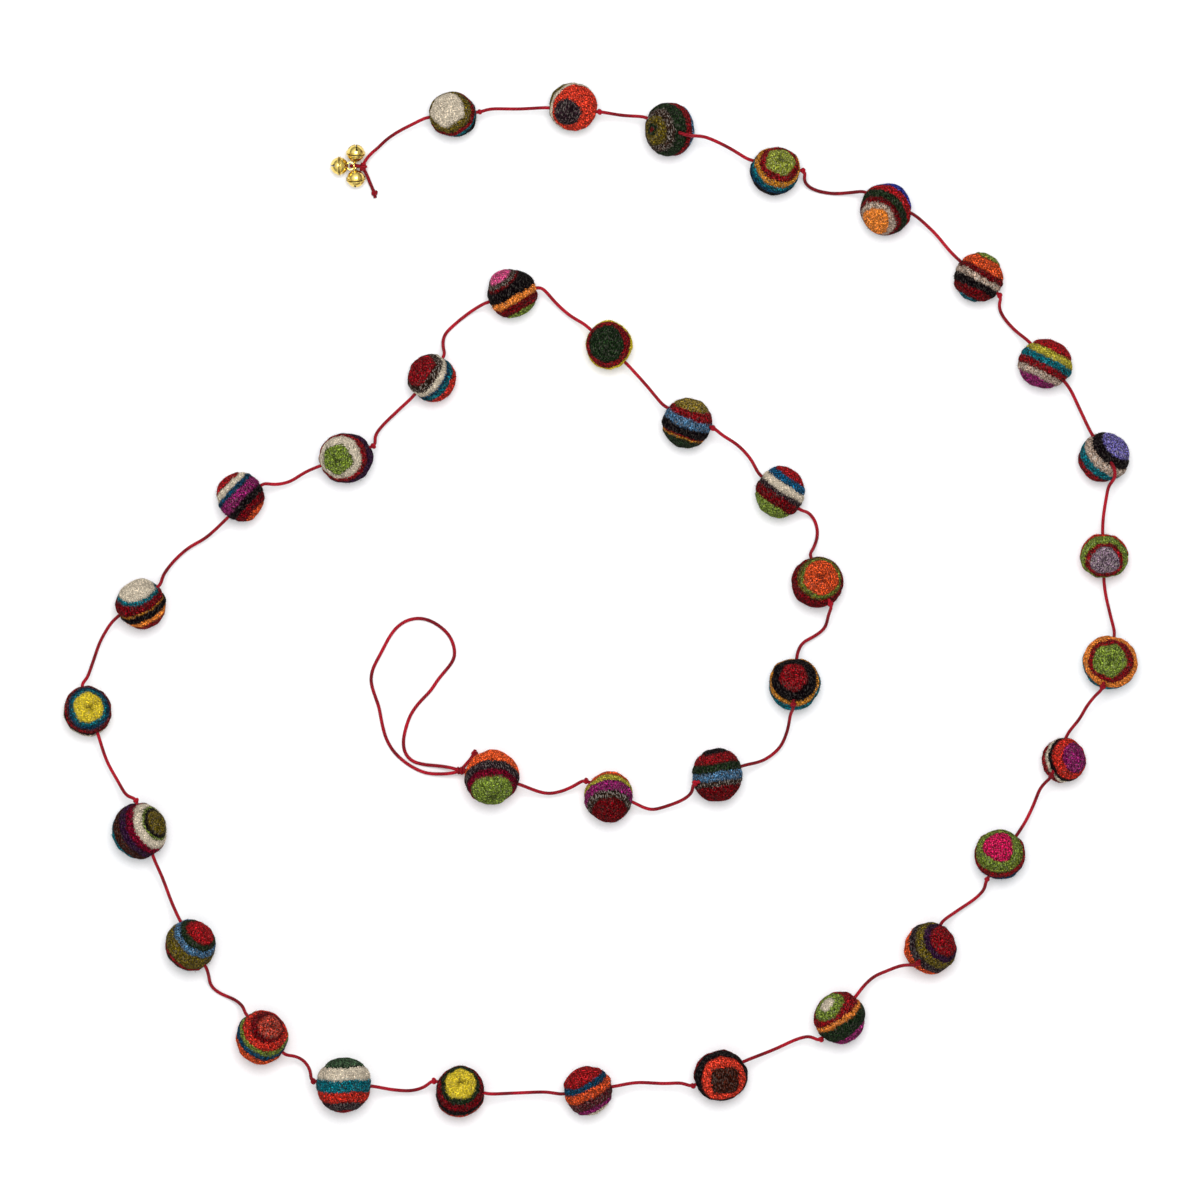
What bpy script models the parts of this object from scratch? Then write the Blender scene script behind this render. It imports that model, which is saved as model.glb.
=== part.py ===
"""A garland of felt balls threaded on one cord, as it lies on a table in a loose open curve.

Three small bells are tied to its first end, and its last end is a hanging loop.
The origin is on the table under the middle of the balls and bells, with +Z up.
Tables and sizes are in millimetres, and MM turns them into metres where a mesh or curve is made.
"""

import math
from collections import namedtuple

import bmesh
import bpy
from mathutils import Matrix, Vector

MM = 0.001
TOUCH_GAP = 0.3  # what stays open between two pieces that touch

# The cord: a thin waxed cotton one, with a stop knot beside most balls
CORD_RADIUS = 0.85
POINT_SPACING = 5.0
KNOT_OFFSETS = (0.4, 1.5, 2.6)  # start, middle and end of a stop knot, from the ball's felt
PLAIN_OFFSET = 1.5  # how far the cord runs straight out of a ball that has no stop knot
HIGH_EXIT = 40.0  # degrees above which the cord comes out on a ball's top and lies over its rim
RIM_STEP = 22.0

# A ball of wound and felted wool
BORE_RADIUS = CORD_RADIUS + TOUCH_GAP + 0.1
BALL_SIDES = 12
BALL_RINGS = 6
BALL_CROWN = 0.98  # its height against the mean of its width and length
BALL_SINK = 0.5  # how far its own weight flattens it on the table
LUMPS = 0.02
DOWN = Vector((0, 0, -1))

# A bell: two pressed cups of brass that meet in a flange, with crossed slots and a wire eyelet
BELL_RADIUS = 4.4
FLANGE_RADIUS = 4.8
FLANGE_HALF = 0.3
BELL_SIDES = 14
BELL_CENTRE_HEIGHT = 4.85
SLOT_WIDTH = 0.8
SLOT_TOP = -1.6  # along the bell's axis, from its middle
EYELET_WIRE = 0.35
EYELET_HALF_WIDTH = 1.7
EYELET_ROOT = 3.8  # where the eyelet starts inside the crown
EYELET_BEYOND = 1.65  # how far it reaches past the cord that it holds
TIE_CENTRE = Vector((-122.4, 217.5, 5.0))
TIE_RADIUS = 2.6
TIE_OPEN = 44.0  # half the angle that the knot takes out of the tie's circle

# The linear colours of the dyed wools, the cord and the brass
WOOLS = {
    "cream": (0.62, 0.54, 0.42),
    "orange": (0.76, 0.13, 0.02),
    "heather": (0.13, 0.09, 0.07),
    "lime": (0.27, 0.35, 0.05),
    "crimson": (0.30, 0.01, 0.015),
    "black": (0.015, 0.013, 0.015),
    "lavender": (0.24, 0.20, 0.31),
    "magenta": (0.24, 0.02, 0.14),
    "pink": (0.65, 0.02, 0.12),
    "olive": (0.13, 0.12, 0.015),
    "green": (0.015, 0.05, 0.022),
    "yellow": (0.62, 0.47, 0.04),
    "teal": (0.005, 0.15, 0.17),
    "plum": (0.06, 0.015, 0.06),
    "blue": (0.09, 0.17, 0.31),
}
CORD_COLOUR = (0.33, 0.006, 0.018)
BRASS_COLOUR = (0.72, 0.46, 0.10)
FELT_ROUGHNESS = 0.95
CORD_ROUGHNESS = 0.45
BRASS_ROUGHNESS = 0.2

# Angles are degrees counterclockwise from +X, and lift is degrees above the ball's middle.
# knot is the stop knot's width against the cord's, and 1 where there is none.
Ball = namedtuple("Ball", "x y wide tall enter leave lift knot wool")
BALLS = [
    Ball(-73.5, 242.75, 24, 22.5, 186, 6, 0, 1.5, "cream"),
    Ball(-13.5, 246.75, 24, 23.5, 183, -12, 0, 1.7, "orange"),
    Ball(34.75, 235.25, 25, 27, 153, -26, 61, 1, "heather"),
    Ball(87.5, 214.5, 25, 23.5, 155, 2, 0, 1.7, "lime"),
    Ball(143, 195.5, 25, 26, 140, -9, 0, 1, "crimson"),
    Ball(189.25, 161.25, 24.5, 24.5, 138, -40, 0, 1.7, "crimson"),
    Ball(222.5, 118, 26.5, 24.5, 125, -42, 0, 1, "crimson"),
    Ball(252.25, 71.25, 25.5, 24.5, 118, -50, 70, 1, "black"),
    Ball(252, 22.25, 24, 22.5, 93, 270, 0, 1, "lavender"),
    Ball(255, -31.25, 27, 26.5, 81, 250, 30, 1.8, "lime"),
    Ball(232, -80, 23, 22, 85, 227, 35, 1.7, "magenta"),
    Ball(200.25, -127.25, 25.5, 25.5, 50, 242, 0, 1.5, "pink"),
    Ball(165.25, -174, 25.5, 26.5, 67, 224, 48, 1.8, "olive"),
    Ball(120, -209, 25, 26.5, 54, 228, 0, 1.8, "green"),
    Ball(60.25, -237.5, 26.5, 25, 30, 201, 0, 1.7, "orange"),
    Ball(-5.75, -245.5, 24.5, 24, 10, 187, 0, 1, "crimson"),
    Ball(-70, -245.75, 25, 25.5, -4, 157, 0, 1.9, "yellow"),
    Ball(-128.25, -242.5, 27.5, 27.5, -2, 172, 0, 1.9, "teal"),
    Ball(-169, -218.75, 26, 26.5, -36, 124, 0, 1, "orange"),
    Ball(-205, -172.5, 25, 26, -54, 112, 0, 1, "olive"),
    Ball(-230.25, -115.5, 27.5, 28, -61, 95, 0, 1.7, "plum"),
    Ball(-256.25, -55.5, 23.5, 25, -66, 103, 0, 1, "yellow"),
    Ball(-229.5, -2.25, 25, 24.5, 207, 46, 0, 1, "crimson"),
    Ball(-179.75, 51.5, 23.5, 25, 238, 30, 0, 1, "black"),
    Ball(-127, 71, 27, 25, 197, 24, 0, 1.7, "lime"),
    Ball(-84, 111, 24, 23, 223, 62, 0, 1, "crimson"),
    Ball(-44, 153.5, 25, 24, 201, 12, 0, 1, "black"),
    Ball(4.5, 127.5, 23, 24, 140, -47, 0, 1, "green"),
    Ball(43.5, 88.5, 25, 25, 142, -10, 20, 1.7, "crimson"),
    Ball(89.75, 53.75, 24.5, 25.5, 138, -40, 0, 1, "cream"),
    Ball(108.75, 9, 25.5, 25, 105, -59, 27, 1.8, "orange"),
    Ball(97.25, -42, 25.5, 26, 85, 265, 46, 1.8, "black"),
    Ball(58.75, -87.5, 25.5, 26, 20, 199, 32, 1.8, "blue"),
    Ball(4.25, -98.5, 24.5, 25, -12, 143, 0, 1.8, "crimson"),
    Ball(-54, -88.5, 27.5, 27, -15, 165, -25, 1, "lime"),
]
# Where the cord crosses the rim of a ball that it leaves on top, by the ball's place in the row
RIM_ANGLES = {3: -11.0, 8: -80.0, 13: 213.0, 32: 265.0}

# The cord's free stretches, the first from the bells' knot to the first ball.
# dip is how far its middle sags under the line between its ends, before it meets the table.
Stretch = namedtuple("Stretch", "dip points")
STRETCHES = [
    Stretch(1, [(-116.9, 221.3), (-114.5, 224), (-111.5, 226.25), (-108, 229.75), (-102, 234), (-93, 238.5)]),
    Stretch(2, [(-56, 245.5), (-40, 245.75)]),
    Stretch(1.5, [(11, 242.5)]),
    Stretch(3, [(52, 231.5), (64, 226.5)]),
    Stretch(12, [(102.25, 210), (106.5, 206.25), (116, 204), (127, 204.25)]),
    Stretch(6, [(160.5, 190.25), (168.5, 183), (174.5, 175.5)]),
    Stretch(9, [(199.75, 148), (201.5, 143), (207, 136.25)]),
    Stretch(4, [(235.5, 105), (240, 96)]),
    Stretch(3, [(254.5, 58), (253, 50), (251.75, 41)]),
    Stretch(3, [(253, 3), (255.5, -8)]),
    Stretch(5, [(247.75, -47.25), (243.5, -53), (240, -59.5), (235, -65.5)]),
    Stretch(7, [(223.5, -90), (220, -94.5), (217.5, -101.5), (213.5, -110)]),
    Stretch(8, [(192.5, -144.5), (188.5, -149.25), (179, -155.75)]),
    Stretch(8, [(150.5, -182.75), (143.5, -185.75), (137, -188.75), (132, -193.25)]),
    Stretch(5, [(105.5, -218.25), (99, -219.75), (88, -224.75)]),
    Stretch(2.5, [(42, -241.75), (32, -242), (18, -241.5)]),
    Stretch(2.5, [(-26, -246.25), (-42.5, -246.75)]),
    Stretch(7, [(-86.25, -242.75), (-93.5, -245.75), (-102.5, -245.5)]),
    Stretch(6, [(-144.75, -236.25), (-148, -231), (-153, -228.25)]),
    Stretch(12, [(-178.5, -204), (-183, -200.5), (-191, -197.25), (-195, -193.75), (-196, -188)]),
    Stretch(4, [(-214.5, -151), (-219, -139)]),
    Stretch(5, [(-236.25, -98.25), (-241.5, -90.5), (-247, -80.5)]),
    Stretch(6, [(-257.5, -40.5), (-254, -31), (-250.5, -21), (-245, -12)]),
    Stretch(8, [(-219, 11.5), (-214, 19), (-206.5, 26), (-197.5, 31.25)]),
    Stretch(5, [(-164, 57.75), (-156, 59), (-148, 63.75)]),
    Stretch(8, [(-112.75, 81.5), (-110.25, 86), (-101.5, 94.75)]),
    Stretch(12, [(-78.75, 127.5), (-78, 133), (-73, 138.25), (-65, 144.5)]),
    Stretch(7, [(-28, 155.25), (-22, 148.75), (-15, 142.5), (-8.5, 138.5)]),
    Stretch(2, [(22.5, 108.25)]),
    Stretch(6, [(61, 82.5), (69, 77.5), (75.5, 70.5)]),
    Stretch(12, [(103.5, 44.25), (107.75, 40), (109.25, 33.5), (107.5, 27)]),
    Stretch(12, [(114.25, -7.5), (112.5, -14.25), (107, -18.5), (101.5, -21.5)]),
    Stretch(9, [(95.25, -56.5), (93.75, -65.5), (90, -74), (82, -80.25)]),
    Stretch(8, [(46.25, -95.25), (43, -99), (34, -103), (25.5, -105)]),
    Stretch(7, [(-12, -92.5), (-19, -95.75), (-26.5, -97), (-34, -94.75)]),
]
CORD_START = Vector((-118.2, 220.0, 5.2))
CORD_END = Vector((-66.4, -85.4, 7.1))

# The hanging loop's plan, from the end knot round and back to it, and its height at the knot
LOOP_POINTS = [
    (-73.1, -84.4), (-80, -83.25), (-88, -82.6), (-94.5, -80.75), (-98, -76.5), (-98.75, -71),
    (-97.5, -64.5), (-95, -57.5), (-91, -51.75), (-85, -45.5), (-81, -39.5), (-76.5, -34.25),
    (-73.25, -29.5), (-73, -24.5), (-75.5, -18), (-80, -13.5), (-85.5, -10.25), (-91.5, -9.1),
    (-98, -10.75), (-103, -14.75), (-106.5, -20), (-110.25, -27.25), (-114, -34.5), (-115, -40.5),
    (-113.5, -46.5), (-111, -53.5), (-109.5, -61.5), (-107.5, -69), (-104, -75.5), (-99, -80.5),
    (-93.5, -84.25), (-87.5, -86.75), (-80.5, -87.25), (-73.1, -86.6),
]
LOOP_END_HEIGHT = 6.0
LOOP_DROP_LENGTH = 18.0  # the length over which it comes down to the table

# The cord's two short ends, as x, y, z and the width against the cord's
Bead = namedtuple("Bead", "x y z swell")
BELL_TAIL = [
    Bead(-117.5, 214.3, 3.9, 1), Bead(-116, 211, 2.2, 1), Bead(-114.9, 208, 1.0, 1),
    Bead(-114.2, 205.8, 1.2, 1.15), Bead(-113, 203.75, 1.7, 2), Bead(-112.8, 201.75, 1.2, 1),
]
LOOP_TAIL = [
    Bead(-68.2, -83.2, 5.6, 1), Bead(-66.2, -81.4, 4.2, 1), Bead(-64.8, -79.8, 2.5, 1),
    Bead(-63.8, -78.4, 1.4, 1.15), Bead(-62.9, -76.8, 1.7, 2), Bead(-62.6, -75.2, 1.2, 1),
]
Knot = namedtuple("Knot", "name centre half")
KNOTS = [
    Knot("bell_knot", (-118.7, 217.1, 5.0), (2.0, 2.3, 2.2)),
    Knot("loop_knot", (-69.75, -85.5, 6.5), (3.0, 2.1, 2.0)),
]
KNOT_SIDES = 12

# angle is the eyelet's place on the tie's circle, way the side that the bell lies on, and
# reach the distance from the bell's middle to the cord in its eyelet
Bell = namedtuple("Bell", "name angle way reach")
BELLS = [
    Bell("bell_1", 260.0, Vector((0, 1, 0)), 6.9),
    Bell("bell_2", 180.0, Vector((-1, 0, 0)), 5.65),
    Bell("bell_3", 100.0, Vector((0, -1, 0)), 6.9),
]


def clear_scene():
    for item in list(bpy.data.objects):
        bpy.data.objects.remove(item)


def make_material(name, colour, roughness, metallic=0.0):
    material = bpy.data.materials.new(name)
    material.use_nodes = True
    shader = material.node_tree.nodes["Principled BSDF"]
    shader.inputs["Base Color"].default_value = (*colour, 1)
    shader.inputs["Roughness"].default_value = roughness
    shader.inputs["Metallic"].default_value = metallic
    return material


def add_mesh(name, bm, material, location=(0, 0, 0)):
    """Turns a bmesh in millimetres into a smooth-shaded object in metres."""
    bmesh.ops.recalc_face_normals(bm, faces=bm.faces[:])
    bmesh.ops.scale(bm, vec=(MM, MM, MM), verts=bm.verts[:])
    mesh = bpy.data.meshes.new(name)
    bm.to_mesh(mesh)
    bm.free()
    mesh.materials.append(material)
    mesh.shade_smooth()
    mesh.set_sharp_from_angle(angle=math.radians(40))
    item = bpy.data.objects.new(name, mesh)
    item.location = Vector(location) * MM
    bpy.context.scene.collection.objects.link(item)
    return item


def direction(angle, lift):
    """The unit vector at an angle round Z and a lift above the level, both in degrees."""
    around = math.radians(angle)
    above = math.radians(lift)
    return Vector((math.cos(around) * math.cos(above), math.sin(around) * math.cos(above), math.sin(above)))


# The balls


def felt_radius(ball, way):
    """How far a ball's felt lies from its middle along a unit vector: an ellipsoid with soft lumps."""
    half_x = ball.wide / 2
    half_y = ball.tall / 2
    half_z = BALL_CROWN * (half_x + half_y) / 2
    flat = math.sqrt((way.x / half_x) ** 2 + (way.y / half_y) ** 2 + (way.z / half_z) ** 2)
    phase = ball.x + ball.y
    waves = math.sin(3 * way.x + phase) + math.sin(3 * way.y + 2 * phase) + math.sin(3 * way.z + 3 * phase)
    return (1 + LUMPS * waves / 3) / flat


def felt_point(ball, angle, lift):
    """A point on a ball's felt, from its middle."""
    way = direction(angle, lift)
    return way * felt_radius(ball, way)


def leaves_felt(ball, start, way):
    """The point, from a ball's middle, where a line from start inside it comes out of the felt."""
    inside = 0.0
    outside = ball.wide + ball.tall
    for _ in range(40):
        middle = (inside + outside) / 2
        point = start + way * middle
        if point.length < felt_radius(ball, point.normalized()):
            inside = middle
        else:
            outside = middle
    return start + way * inside


def bore_ends(ball):
    return felt_point(ball, ball.enter, 0), felt_point(ball, ball.leave, ball.lift)


def ball_rings(ball):
    """Rings of points round the bore, from its mouth where the cord enters to where it leaves."""
    enters, leaves = bore_ends(ball)
    axis = (leaves - enters).normalized()
    middle = (enters + leaves) / 2
    side = axis.cross(Vector((0, 0, 1))).normalized()
    upright = side.cross(axis)
    turns = [2 * math.pi * step / BALL_SIDES for step in range(BALL_SIDES)]
    spokes = [side * math.cos(turn) + upright * math.sin(turn) for turn in turns]
    rings = [[leaves_felt(ball, middle + spoke * BORE_RADIUS, -axis) for spoke in spokes]]
    for ring in range(1, BALL_RINGS + 1):
        polar = math.pi * ring / (BALL_RINGS + 1)
        ways = [spoke * math.sin(polar) - axis * math.cos(polar) for spoke in spokes]
        rings.append([leaves_felt(ball, middle, way) for way in ways])
    rings.append([leaves_felt(ball, middle + spoke * BORE_RADIUS, axis) for spoke in spokes])
    return rings


def ball_centre(ball):
    lowest = min(point.z for ring in ball_rings(ball) for point in ring)
    return Vector((ball.x, ball.y, -lowest - BALL_SINK))


def bridge_rings(bm, rings, closed):
    """Joins rings of points with faces, and the last ring to the first one where closed."""
    made = [[bm.verts.new(point) for point in ring] for ring in rings]
    pairs = list(zip(made, made[1:]))
    if closed:
        pairs.append((made[-1], made[0]))
    for first, second in pairs:
        for here in range(len(first)):
            after = (here + 1) % len(first)
            bm.faces.new((first[here], first[after], second[after], second[here]))
    return made


def cut_flat(bm, height):
    """Cuts away what lies below a height, and closes the cut with a level face."""
    everything = bm.verts[:] + bm.edges[:] + bm.faces[:]
    bmesh.ops.bisect_plane(bm, geom=everything, plane_co=(0, 0, height), plane_no=DOWN, clear_outer=True)
    rim = [edge for edge in bm.edges if edge.is_boundary]
    bmesh.ops.holes_fill(bm, edges=rim, sides=0)


def make_ball(number, ball):
    name = f"ball_{number:02d}"
    bm = bmesh.new()
    bridge_rings(bm, ball_rings(ball), closed=True)
    centre = ball_centre(ball)
    cut_flat(bm, -centre.z)
    material = make_material(f"{name}_{ball.wool}_felt", WOOLS[ball.wool], FELT_ROUGHNESS)
    add_mesh(name, bm, material, centre)


# The cord


def ball_route(number, ball):
    """The cord's beads just before a ball, in its bore and after it, with its stop knot."""
    centre = ball_centre(ball)
    enters, leaves = bore_ends(ball)
    axis = (leaves - enters).normalized()
    beads = [centre + enters - axis * PLAIN_OFFSET, centre + enters, centre + leaves]
    swells = [1, 1, 1]
    if ball.knot > 1:
        beads += [centre + leaves + axis * offset for offset in KNOT_OFFSETS]
        swells += [1, ball.knot, 1]
    else:
        beads.append(centre + leaves + axis * PLAIN_OFFSET)
        swells.append(1)
    if ball.lift > HIGH_EXIT:
        steps = round(ball.lift / RIM_STEP)
        for step in range(1, steps):
            share = step / steps
            angle = ball.leave + (RIM_ANGLES[number] - ball.leave) * share
            way = direction(angle, ball.lift * (1 - share))
            beads.append(centre + way * (felt_radius(ball, way) + CORD_RADIUS + TOUCH_GAP + 0.1))
            swells.append(1)
    return [Bead(*point, swell) for point, swell in zip(beads, swells)]


def sagging(start, end, stretch):
    """A stretch's beads between two points, hanging down between them or lying on the table."""
    plan = [Vector((start.x, start.y)), *(Vector(point) for point in stretch.points), Vector((end.x, end.y))]
    run = [0.0]
    for before, after in zip(plan, plan[1:]):
        run.append(run[-1] + (after - before).length)
    beads = []
    for point, along in zip(plan[1:-1], run[1:-1]):
        share = along / run[-1]
        height = start.z + (end.z - start.z) * share - stretch.dip * 4 * share * (1 - share)
        beads.append(Bead(point.x, point.y, max(height, CORD_RADIUS), 1))
    return beads


def cord_route():
    """The threaded cord's beads, and the indexes of those that start a straight run in a bore."""
    beads = [Bead(*CORD_START, 1)]
    bores = []
    for number, (ball, stretch) in enumerate(zip(BALLS, STRETCHES), start=1):
        through = ball_route(number, ball)
        beads += sagging(beads[-1], through[0], stretch)
        bores.append(len(beads) + 1)
        beads += through
    last_exit = bores[-1] + 1
    return beads[: last_exit + 1] + [Bead(*CORD_END, 1)], bores


def smooth_point(before, start, end, after, share):
    """A point between start and end on the centripetal curve through four points."""
    knots = [0.0]
    for near, far in ((before, start), (start, end), (end, after)):
        knots.append(knots[-1] + math.sqrt(max((far - near).length, 1e-6)))
    here = knots[1] + (knots[2] - knots[1]) * share
    points = [before, start, end, after]
    for level in (1, 2, 3):
        blended = []
        for low in range(len(points) - 1):
            high = min(low + level, 3)
            first = low if level < 3 else 1
            last = high if level < 3 else 2
            weight = (here - knots[first]) / (knots[last] - knots[first])
            blended.append(points[low].lerp(points[low + 1], weight))
        points = blended
    return points[0]


def smooth_route(beads, straight=()):
    """More beads along the smooth curve through the given ones, kept above the table."""
    points = [Vector(bead[:3]) for bead in beads]
    points = [2 * points[0] - points[1], *points, 2 * points[-1] - points[-2]]
    made = []
    for index in range(len(beads) - 1):
        around = points[index : index + 4]
        length = (around[2] - around[1]).length
        parts = 1 if index in straight else max(1, round(length / POINT_SPACING))
        for part in range(parts):
            share = part / parts
            point = smooth_point(*around, share)
            swell = beads[index].swell * (1 - share) + beads[index + 1].swell * share
            made.append(Bead(point.x, point.y, max(point.z, CORD_RADIUS * swell), swell))
    made.append(beads[-1])
    return made


def make_cord(name, beads, material):
    curve = bpy.data.curves.new(name, "CURVE")
    curve.dimensions = "3D"
    curve.bevel_depth = CORD_RADIUS * MM
    curve.bevel_resolution = 2
    curve.use_fill_caps = True
    curve.materials.append(material)
    spline = curve.splines.new("POLY")
    spline.points.add(len(beads) - 1)
    for point, bead in zip(spline.points, beads):
        point.co = (bead.x * MM, bead.y * MM, bead.z * MM, 1)
        point.radius = bead.swell
    item = bpy.data.objects.new(name, curve)
    bpy.context.scene.collection.objects.link(item)
    return item


def loop_beads():
    """The hanging loop's beads: level on the table, rising to the knot at both ends."""
    plan = [Vector(point) for point in LOOP_POINTS]
    run = [0.0]
    for before, after in zip(plan, plan[1:]):
        run.append(run[-1] + (after - before).length)
    beads = []
    for point, along in zip(plan, run):
        from_end = min(along, run[-1] - along)
        rise = max(0.0, 1 - from_end / LOOP_DROP_LENGTH) ** 2
        height = CORD_RADIUS + (LOOP_END_HEIGHT - CORD_RADIUS) * rise
        beads.append(Bead(point.x, point.y, height, 1))
    return beads


def tie_point(angle):
    around = math.radians(angle)
    return TIE_CENTRE + Vector((math.cos(around), 0, math.sin(around))) * TIE_RADIUS


def tie_beads():
    """The turn of cord through the bells' eyelets, open where the knot closes it."""
    steps = 14
    sweep = (360 - 2 * TIE_OPEN) / steps
    return [Bead(*tie_point(TIE_OPEN + sweep * step), 1) for step in range(steps + 1)]


def make_knot(knot, material):
    bm = bmesh.new()
    bmesh.ops.create_uvsphere(bm, u_segments=KNOT_SIDES, v_segments=KNOT_SIDES // 2 + 1, radius=1)
    bmesh.ops.scale(bm, vec=knot.half, verts=bm.verts[:])
    add_mesh(knot.name, bm, material, knot.centre)


# The bells


def bell_profile():
    """The bell's outline as radius and height along its axis, crown first."""
    cup = [math.radians(angle) for angle in (22, 44, 66)]
    crown = [(BELL_RADIUS * math.sin(polar), BELL_RADIUS * math.cos(polar)) for polar in cup]
    flange = [
        (BELL_RADIUS, FLANGE_HALF), (FLANGE_RADIUS, FLANGE_HALF),
        (FLANGE_RADIUS, -FLANGE_HALF), (BELL_RADIUS, -FLANGE_HALF),
    ]
    return crown + flange + [(radius, -height) for radius, height in reversed(crown)]


def make_bell_body(name, material):
    bm = bmesh.new()
    turns = [2 * math.pi * step / BELL_SIDES for step in range(BELL_SIDES)]
    rings = [
        [Vector((radius * math.cos(turn), radius * math.sin(turn), height)) for turn in turns]
        for radius, height in bell_profile()
    ]
    made = bridge_rings(bm, rings, closed=False)
    for ring, height in ((made[0], BELL_RADIUS), (made[-1], -BELL_RADIUS)):
        pole = bm.verts.new((0, 0, height))
        for here in range(BELL_SIDES):
            bm.faces.new((ring[here], ring[(here + 1) % BELL_SIDES], pole))
    return add_mesh(name, bm, material)


def make_slot_cutter(name, material):
    """A cross-shaped block that cuts the two slots across the bell's tip."""
    near = SLOT_WIDTH / 2
    far = FLANGE_RADIUS + 1
    corners = [
        (far, near), (near, near), (near, far), (-near, far), (-near, near), (-far, near),
        (-far, -near), (-near, -near), (-near, -far), (near, -far), (near, -near), (far, -near),
    ]
    bm = bmesh.new()
    outline = [bm.verts.new((x, y, SLOT_TOP)) for x, y in corners]
    face = bm.faces.new(outline)
    pushed = bmesh.ops.extrude_face_region(bm, geom=[face])["geom"]
    moved = [item for item in pushed if isinstance(item, bmesh.types.BMVert)]
    bmesh.ops.translate(bm, vec=(0, 0, -BELL_RADIUS), verts=moved)
    cutter = add_mesh(name, bm, material)
    cutter.hide_render = True
    cutter.display_type = "WIRE"
    return cutter


def make_eyelet(name, reach, material):
    """A wire ring in the bell's XZ plane, from inside the crown to past the cord."""
    sides = 14
    wire_sides = 6
    half_height = (reach + EYELET_BEYOND - EYELET_ROOT) / 2
    middle = EYELET_ROOT + half_height
    rings = []
    for step in range(sides):
        turn = 2 * math.pi * step / sides
        outward = Vector((math.cos(turn), 0, math.sin(turn)))
        ring_point = Vector((EYELET_HALF_WIDTH * outward.x, 0, middle + half_height * outward.z))
        ring = []
        for wire_step in range(wire_sides):
            wire_turn = 2 * math.pi * wire_step / wire_sides
            offset = outward * math.cos(wire_turn) + Vector((0, 1, 0)) * math.sin(wire_turn)
            ring.append(ring_point + offset * EYELET_WIRE)
        rings.append(ring)
    bm = bmesh.new()
    bridge_rings(bm, rings, closed=True)
    eyelet = add_mesh(name, bm, material)
    eyelet.hide_render = True
    eyelet.display_type = "WIRE"
    return eyelet


def combine(item, other, operation):
    step = item.modifiers.new(other.name, "BOOLEAN")
    step.operation = operation
    step.object = other
    other.parent = item


def place_bell(item, bell):
    """Puts a bell on the table with the tie in its eyelet, and its crown towards the tie."""
    held = tie_point(bell.angle)
    outward = (held - TIE_CENTRE).normalized()
    along_ring = bell.way
    slope = 0.0
    if abs(along_ring.dot(outward)) < 0.5:
        slope = (held.z - BELL_CENTRE_HEIGHT) / (bell.reach * outward.z)
    lean = along_ring * math.sqrt(1 - slope * slope) - outward * slope
    centre = held + lean * bell.reach
    centre.z = max(centre.z, BELL_CENTRE_HEIGHT)
    axis = -lean
    ring_normal = outward.cross(Vector((0, 1, 0))).normalized()
    sideways = ring_normal.cross(axis).normalized()
    turn = Matrix((sideways, ring_normal, axis)).transposed()
    item.matrix_world = Matrix.Translation(centre * MM) @ turn.to_4x4()


def make_bell(bell, material):
    body = make_bell_body(bell.name, material)
    combine(body, make_eyelet(f"{bell.name}_eyelet", bell.reach, material), "UNION")
    combine(body, make_slot_cutter(f"{bell.name}_slots", material), "DIFFERENCE")
    place_bell(body, bell)


def main():
    clear_scene()
    for number, ball in enumerate(BALLS, start=1):
        make_ball(number, ball)
    cord = make_material("red_cord", CORD_COLOUR, CORD_ROUGHNESS)
    beads, bores = cord_route()
    make_cord("cord", smooth_route(beads, bores), cord)
    make_cord("hanging_loop", smooth_route(loop_beads()), cord)
    make_cord("bell_tail", BELL_TAIL, cord)
    make_cord("loop_tail", LOOP_TAIL, cord)
    make_cord("bell_tie", tie_beads(), cord)
    for knot in KNOTS:
        make_knot(knot, cord)
    brass = make_material("brass", BRASS_COLOUR, BRASS_ROUGHNESS, metallic=1.0)
    for bell in BELLS:
        make_bell(bell, brass)


main()
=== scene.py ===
import math
from collections import namedtuple

import bmesh
import bpy
import numpy as np
from mathutils import Matrix, Vector


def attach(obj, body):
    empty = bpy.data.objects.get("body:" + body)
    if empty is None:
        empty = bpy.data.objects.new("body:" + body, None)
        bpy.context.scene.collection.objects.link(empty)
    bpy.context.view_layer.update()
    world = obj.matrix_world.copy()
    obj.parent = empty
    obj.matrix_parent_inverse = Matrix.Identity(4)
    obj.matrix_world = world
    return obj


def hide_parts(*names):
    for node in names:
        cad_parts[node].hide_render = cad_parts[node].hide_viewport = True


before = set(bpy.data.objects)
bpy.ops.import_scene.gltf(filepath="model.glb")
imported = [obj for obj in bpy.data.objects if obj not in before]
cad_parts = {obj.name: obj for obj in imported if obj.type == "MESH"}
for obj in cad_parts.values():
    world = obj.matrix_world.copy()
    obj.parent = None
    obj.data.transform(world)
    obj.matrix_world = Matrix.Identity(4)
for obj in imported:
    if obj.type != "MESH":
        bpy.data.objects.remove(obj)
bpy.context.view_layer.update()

# Tables and sizes are in millimetres, and MM turns them into metres where something is made.
# Angles are degrees counterclockwise from +X, and lift is degrees above a ball's middle.
MM = 0.001
SEED = 7

# The studio's brightness by how far up, and how far to the right, a ray goes
WALL_SHADES = [(0.05, 0.22), (0.45, 0.5), (0.75, 1.0)]
SCREEN_SHADES = [(0.5, 1.0), (0.56, 0.25), (0.66, 0.25), (0.74, 1.0)]

VIEW_WIDTH = 600.0
VIEW_LEVEL = 12.0  # the height at which the view is that wide: the balls' middles
CAMERA_HEIGHT = 3000.0
SENSOR_WIDTH = 36.0
STUDIO_STRENGTH = 1.13
KEY_PLACE = (0.06, 0.42, 2.1)  # metres, as its size
KEY_SIZE = 1.1
KEY_POWER = 30

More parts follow.
